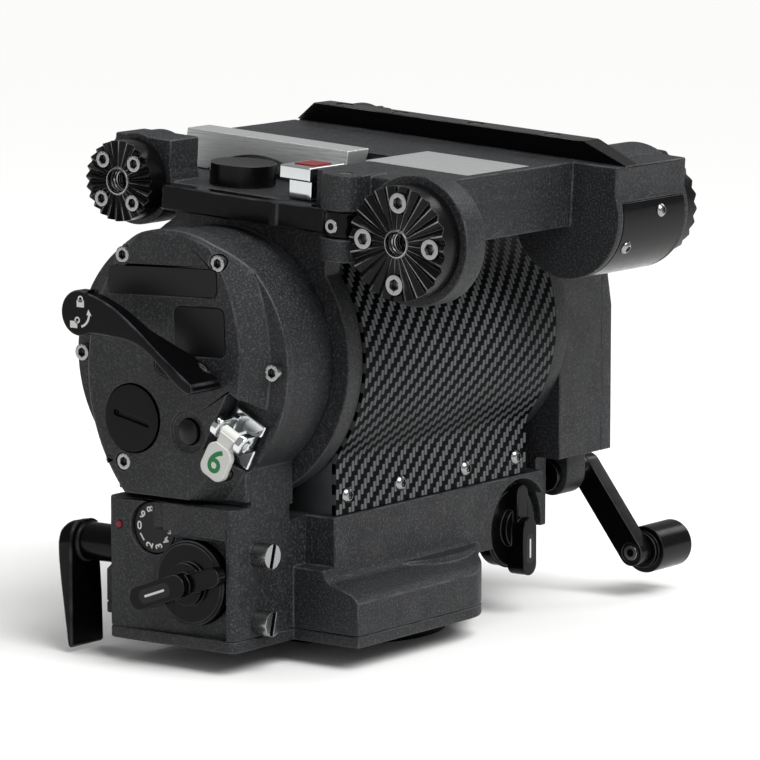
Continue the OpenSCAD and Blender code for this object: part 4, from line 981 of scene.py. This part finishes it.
class HEAD_OT_cover_fittings(bpy.types.Operator):
    """Finishes what sits on the side cover: cap, button, plates, yoke, tag and index dot"""

    bl_idname = "head.cover_fittings"
    bl_label = "Cover fittings"

    def execute(self, context):
        edge = sizes().machined_edge
        dressed("battery_cap", gloss_black(), edge)
        dressed("light_button", satin_black(), edge)
        for node in ("name_strip", "badge_plate"):
            dressed(node, satin_black(), sizes().plate_edge)
        dressed("index_yoke", chrome(), sizes().yoke_edge, segments=3)
        dressed("index_tag", white_enamel(), sizes().bar_edge, segments=3)
        dressed("index_dot", enamel("red_enamel", finishes().red_enamel), sizes().plate_edge)
        self.tag_figure()
        return {"FINISHED"}

    @staticmethod
    def tag_figure():
        """Green figure on the number tag, below its hinge."""
        below = 12.5 * MM
        aside = 0.5 * MM
        pin = JOINTS["tag_swing"]
        across = Vector(pin["axis"]).normalized()
        out = Vector((-1, 0, 0))
        down = across.cross(out)
        up = -down if down.z < 0 else down
        place = Vector(pin["pos_m"]) - up * below + across * aside
        place.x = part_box("index_tag")[0].x
        mesh = figure("6", sizes().tag_digit, sizes().mark, bold=0.025)
        mesh.transform(facing(place, out, up))
        green = enamel("green_enamel", finishes().green_enamel)
        settle(joined("tag_figure", [mesh], green), "index_tag", "tag_white")


class HEAD_OT_crank(bpy.types.Operator):
    """Finishes the crank, its shaft and its grip"""

    bl_idname = "head.crank"
    bl_label = "Crank"

    def execute(self, context):
        dressed("crank_arm", gloss_black(), sizes().knob_edge, segments=3)
        dressed("crank_shaft", black_anodised(), sizes().machined_edge)
        dressed("crank_grip", gloss_black(), sizes().knob_edge, segments=3)
        place = Vector(JOINTS["grip_spin"]["pos_m"])
        place.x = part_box("crank_grip")[0].x
        rim = ring(inner=1.8 * MM, outer=3.4 * MM, height=0.3 * MM, broken=0.15 * MM)
        rim.transform(facing(place, Vector((-1, 0, 0)), Vector((0, 0, 1))))
        settle(joined("grip_screw", [rim], stainless()), "grip", "bearing_steel")
        return {"FINISHED"}


class HEAD_OT_clamp(bpy.types.Operator):
    """Finishes the camera clamp: jaw, cam, catch, rail, wear strip and rear plate"""

    bl_idname = "head.clamp"
    bl_label = "Camera clamp"

    def execute(self, context):
        edge = sizes().machined_edge
        dressed("clamp_jaw", brushed_aluminium(), sizes().bar_edge)
        dressed("wear_strip", brushed_aluminium(), sizes().strip_edge)
        dressed("clamp_cam", black_anodised(), edge)
        dressed("guide_rail", black_anodised(), sizes().bar_edge)
        dressed("rear_cover_plate", gloss_black(), edge)
        dressed("safety_catch", chrome(), sizes().catch_edge, segments=3)
        self.catch_mark()
        return {"FINISHED"}

    @staticmethod
    def catch_mark():
        """Red plate let into the catch's top."""
        low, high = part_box("safety_catch")
        middle = (low + high) / 2
        plate = Matrix.Diagonal((12 * MM, 10 * MM, 0.5 * MM, 1))
        sunk = 0.35 * MM
        mesh = bpy.data.meshes.new("catch_mark")
        form = bmesh.new()
        bmesh.ops.create_cube(form, size=1, matrix=plate)
        form.to_mesh(mesh)
        form.free()
        mesh.materials.append(enamel("red_enamel", finishes().red_enamel))
        height = (high.z - low.z) / 2
        mesh.transform(facing(middle + DECK_UP * (height - sunk), DECK_UP, DECK_FRONT))
        settle(link("catch_mark", mesh), "catch", "index_red")


class HEAD_OT_inner_works(bpy.types.Operator):
    """Finishes the pieces inside the housings and the foot"""

    bl_idname = "head.inner_works"
    bl_label = "Inner works"

    def execute(self, context):
        looks = {
            "bearing_steel": ground_steel(), "inner_metal": machined_aluminium(),
            "lining": brake_lining(), "gear_brass": cut_brass(),
        }
        for node, slot in SLOT_OF.items():
            if slot in looks:
                paint_solid(node, looks[slot])
        dressed("mount_flange", black_anodised(), sizes().machined_edge)
        return {"FINISHED"}


class HEAD_OT_stage(bpy.types.Operator):
    """Sets up the floor, room, lights and camera"""

    bl_idname = "head.stage"
    bl_label = "Studio"

    def execute(self, context):
        scene = context.scene
        scene.view_settings.view_transform = "Standard"
        self.room(scene)
        self.floor()
        self.lights(scene)
        studio = scene.head_studio
        camera = bpy.data.cameras.new("camera")
        camera.lens = studio.lens
        camera.sensor_width = 36
        camera.clip_end = 100
        stand = bpy.data.objects.new("camera", camera)
        stand.location = studio.camera_place
        stand.rotation_euler = (studio.pitch, 0, studio.heading)
        scene.collection.objects.link(stand)
        scene.camera = stand
        return {"FINISHED"}

    @staticmethod
    def room(scene):
        """Plain room that fills the shadows."""
        world = bpy.data.worlds.new("plain_room")
        world.use_nodes = True
        scene.world = world
        back = world.node_tree.nodes["Background"]
        back.inputs["Color"].default_value = (1, 1, 1, 1)
        back.inputs["Strength"].default_value = scene.head_studio.ambient

    @staticmethod
    def floor():
        """White paper floor that keeps the shadow."""
        mesh = bpy.data.meshes.new("floor")
        form = bmesh.new()
        bmesh.ops.create_grid(form, x_segments=1, y_segments=1, size=40)
        form.to_mesh(mesh)
        form.free()
        mesh.materials.append(floor_paper())
        link("floor", mesh)

    @staticmethod
    def lights(scene):
        """Broad key from above on the right, with soft boxes for the gleam on dark edges."""
        studio = scene.head_studio
        key = bpy.data.lights.new("key", "SUN")
        key.energy = studio.key
        key.angle = math.radians(40)
        target = Vector((0, 0, 0.12))
        placed = [(key, (-0.2, -0.75, 1.0))]
        for name, place, width, height, power in (
            ("top_box", (-0.05, -0.02, 1.15), 1.1, 0.3, studio.box),
            ("right_box", (1.0, -0.2, 0.75), 0.3, 0.6, studio.box / 2),
            ("camera_box", (-1.1, -0.6, 0.5), 0.3, 0.8, studio.box / 4),
        ):
            box = bpy.data.lights.new(name, "AREA")
            box.shape = "RECTANGLE"
            box.size = width
            box.size_y = height
            box.energy = power
            placed.append((box, place))
        for light, place in placed:
            lamp = bpy.data.objects.new(light.name, light)
            lamp.location = place
            aim = target - lamp.location
            lamp.rotation_euler = aim.to_track_quat("-Z", "Y").to_euler()
            scene.collection.objects.link(lamp)


STEPS = (
    HEAD_OT_castings, HEAD_OT_carbon_cover, HEAD_OT_rosettes, HEAD_OT_screws, HEAD_OT_levers, HEAD_OT_knobs,
    HEAD_OT_cover_fittings, HEAD_OT_crank, HEAD_OT_clamp, HEAD_OT_inner_works, HEAD_OT_stage,
)


class HEAD_PT_panel(bpy.types.Panel):
    """Lists the steps that dress the head"""

    bl_idname = "HEAD_PT_panel"
    bl_label = "Video head"
    bl_space_type = "VIEW_3D"
    bl_region_type = "UI"
    bl_category = "Video head"

    def draw(self, context):
        for step in STEPS:
            self.layout.operator(step.bl_idname)


GROUPS = {"head_finishes": HEAD_PG_finishes, "head_sizes": HEAD_PG_sizes, "head_studio": HEAD_PG_studio}
CLASSES = (*GROUPS.values(), *STEPS, HEAD_PT_panel)


def register():
    """Registers the classes and gives the scene its property groups."""
    for cls in CLASSES:
        bpy.utils.register_class(cls)
    for name, group in GROUPS.items():
        setattr(bpy.types.Scene, name, bpy.props.PointerProperty(type=group))


def unregister():
    """Takes back what register adds."""
    for name in GROUPS:
        delattr(bpy.types.Scene, name)
    for cls in reversed(CLASSES):
        bpy.utils.unregister_class(cls)


def main():
    """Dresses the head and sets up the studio."""
    register()
    for step in STEPS:
        family, name = step.bl_idname.split(".")
        getattr(getattr(bpy.ops, family), name)()


if __name__ == "__main__":
    main()
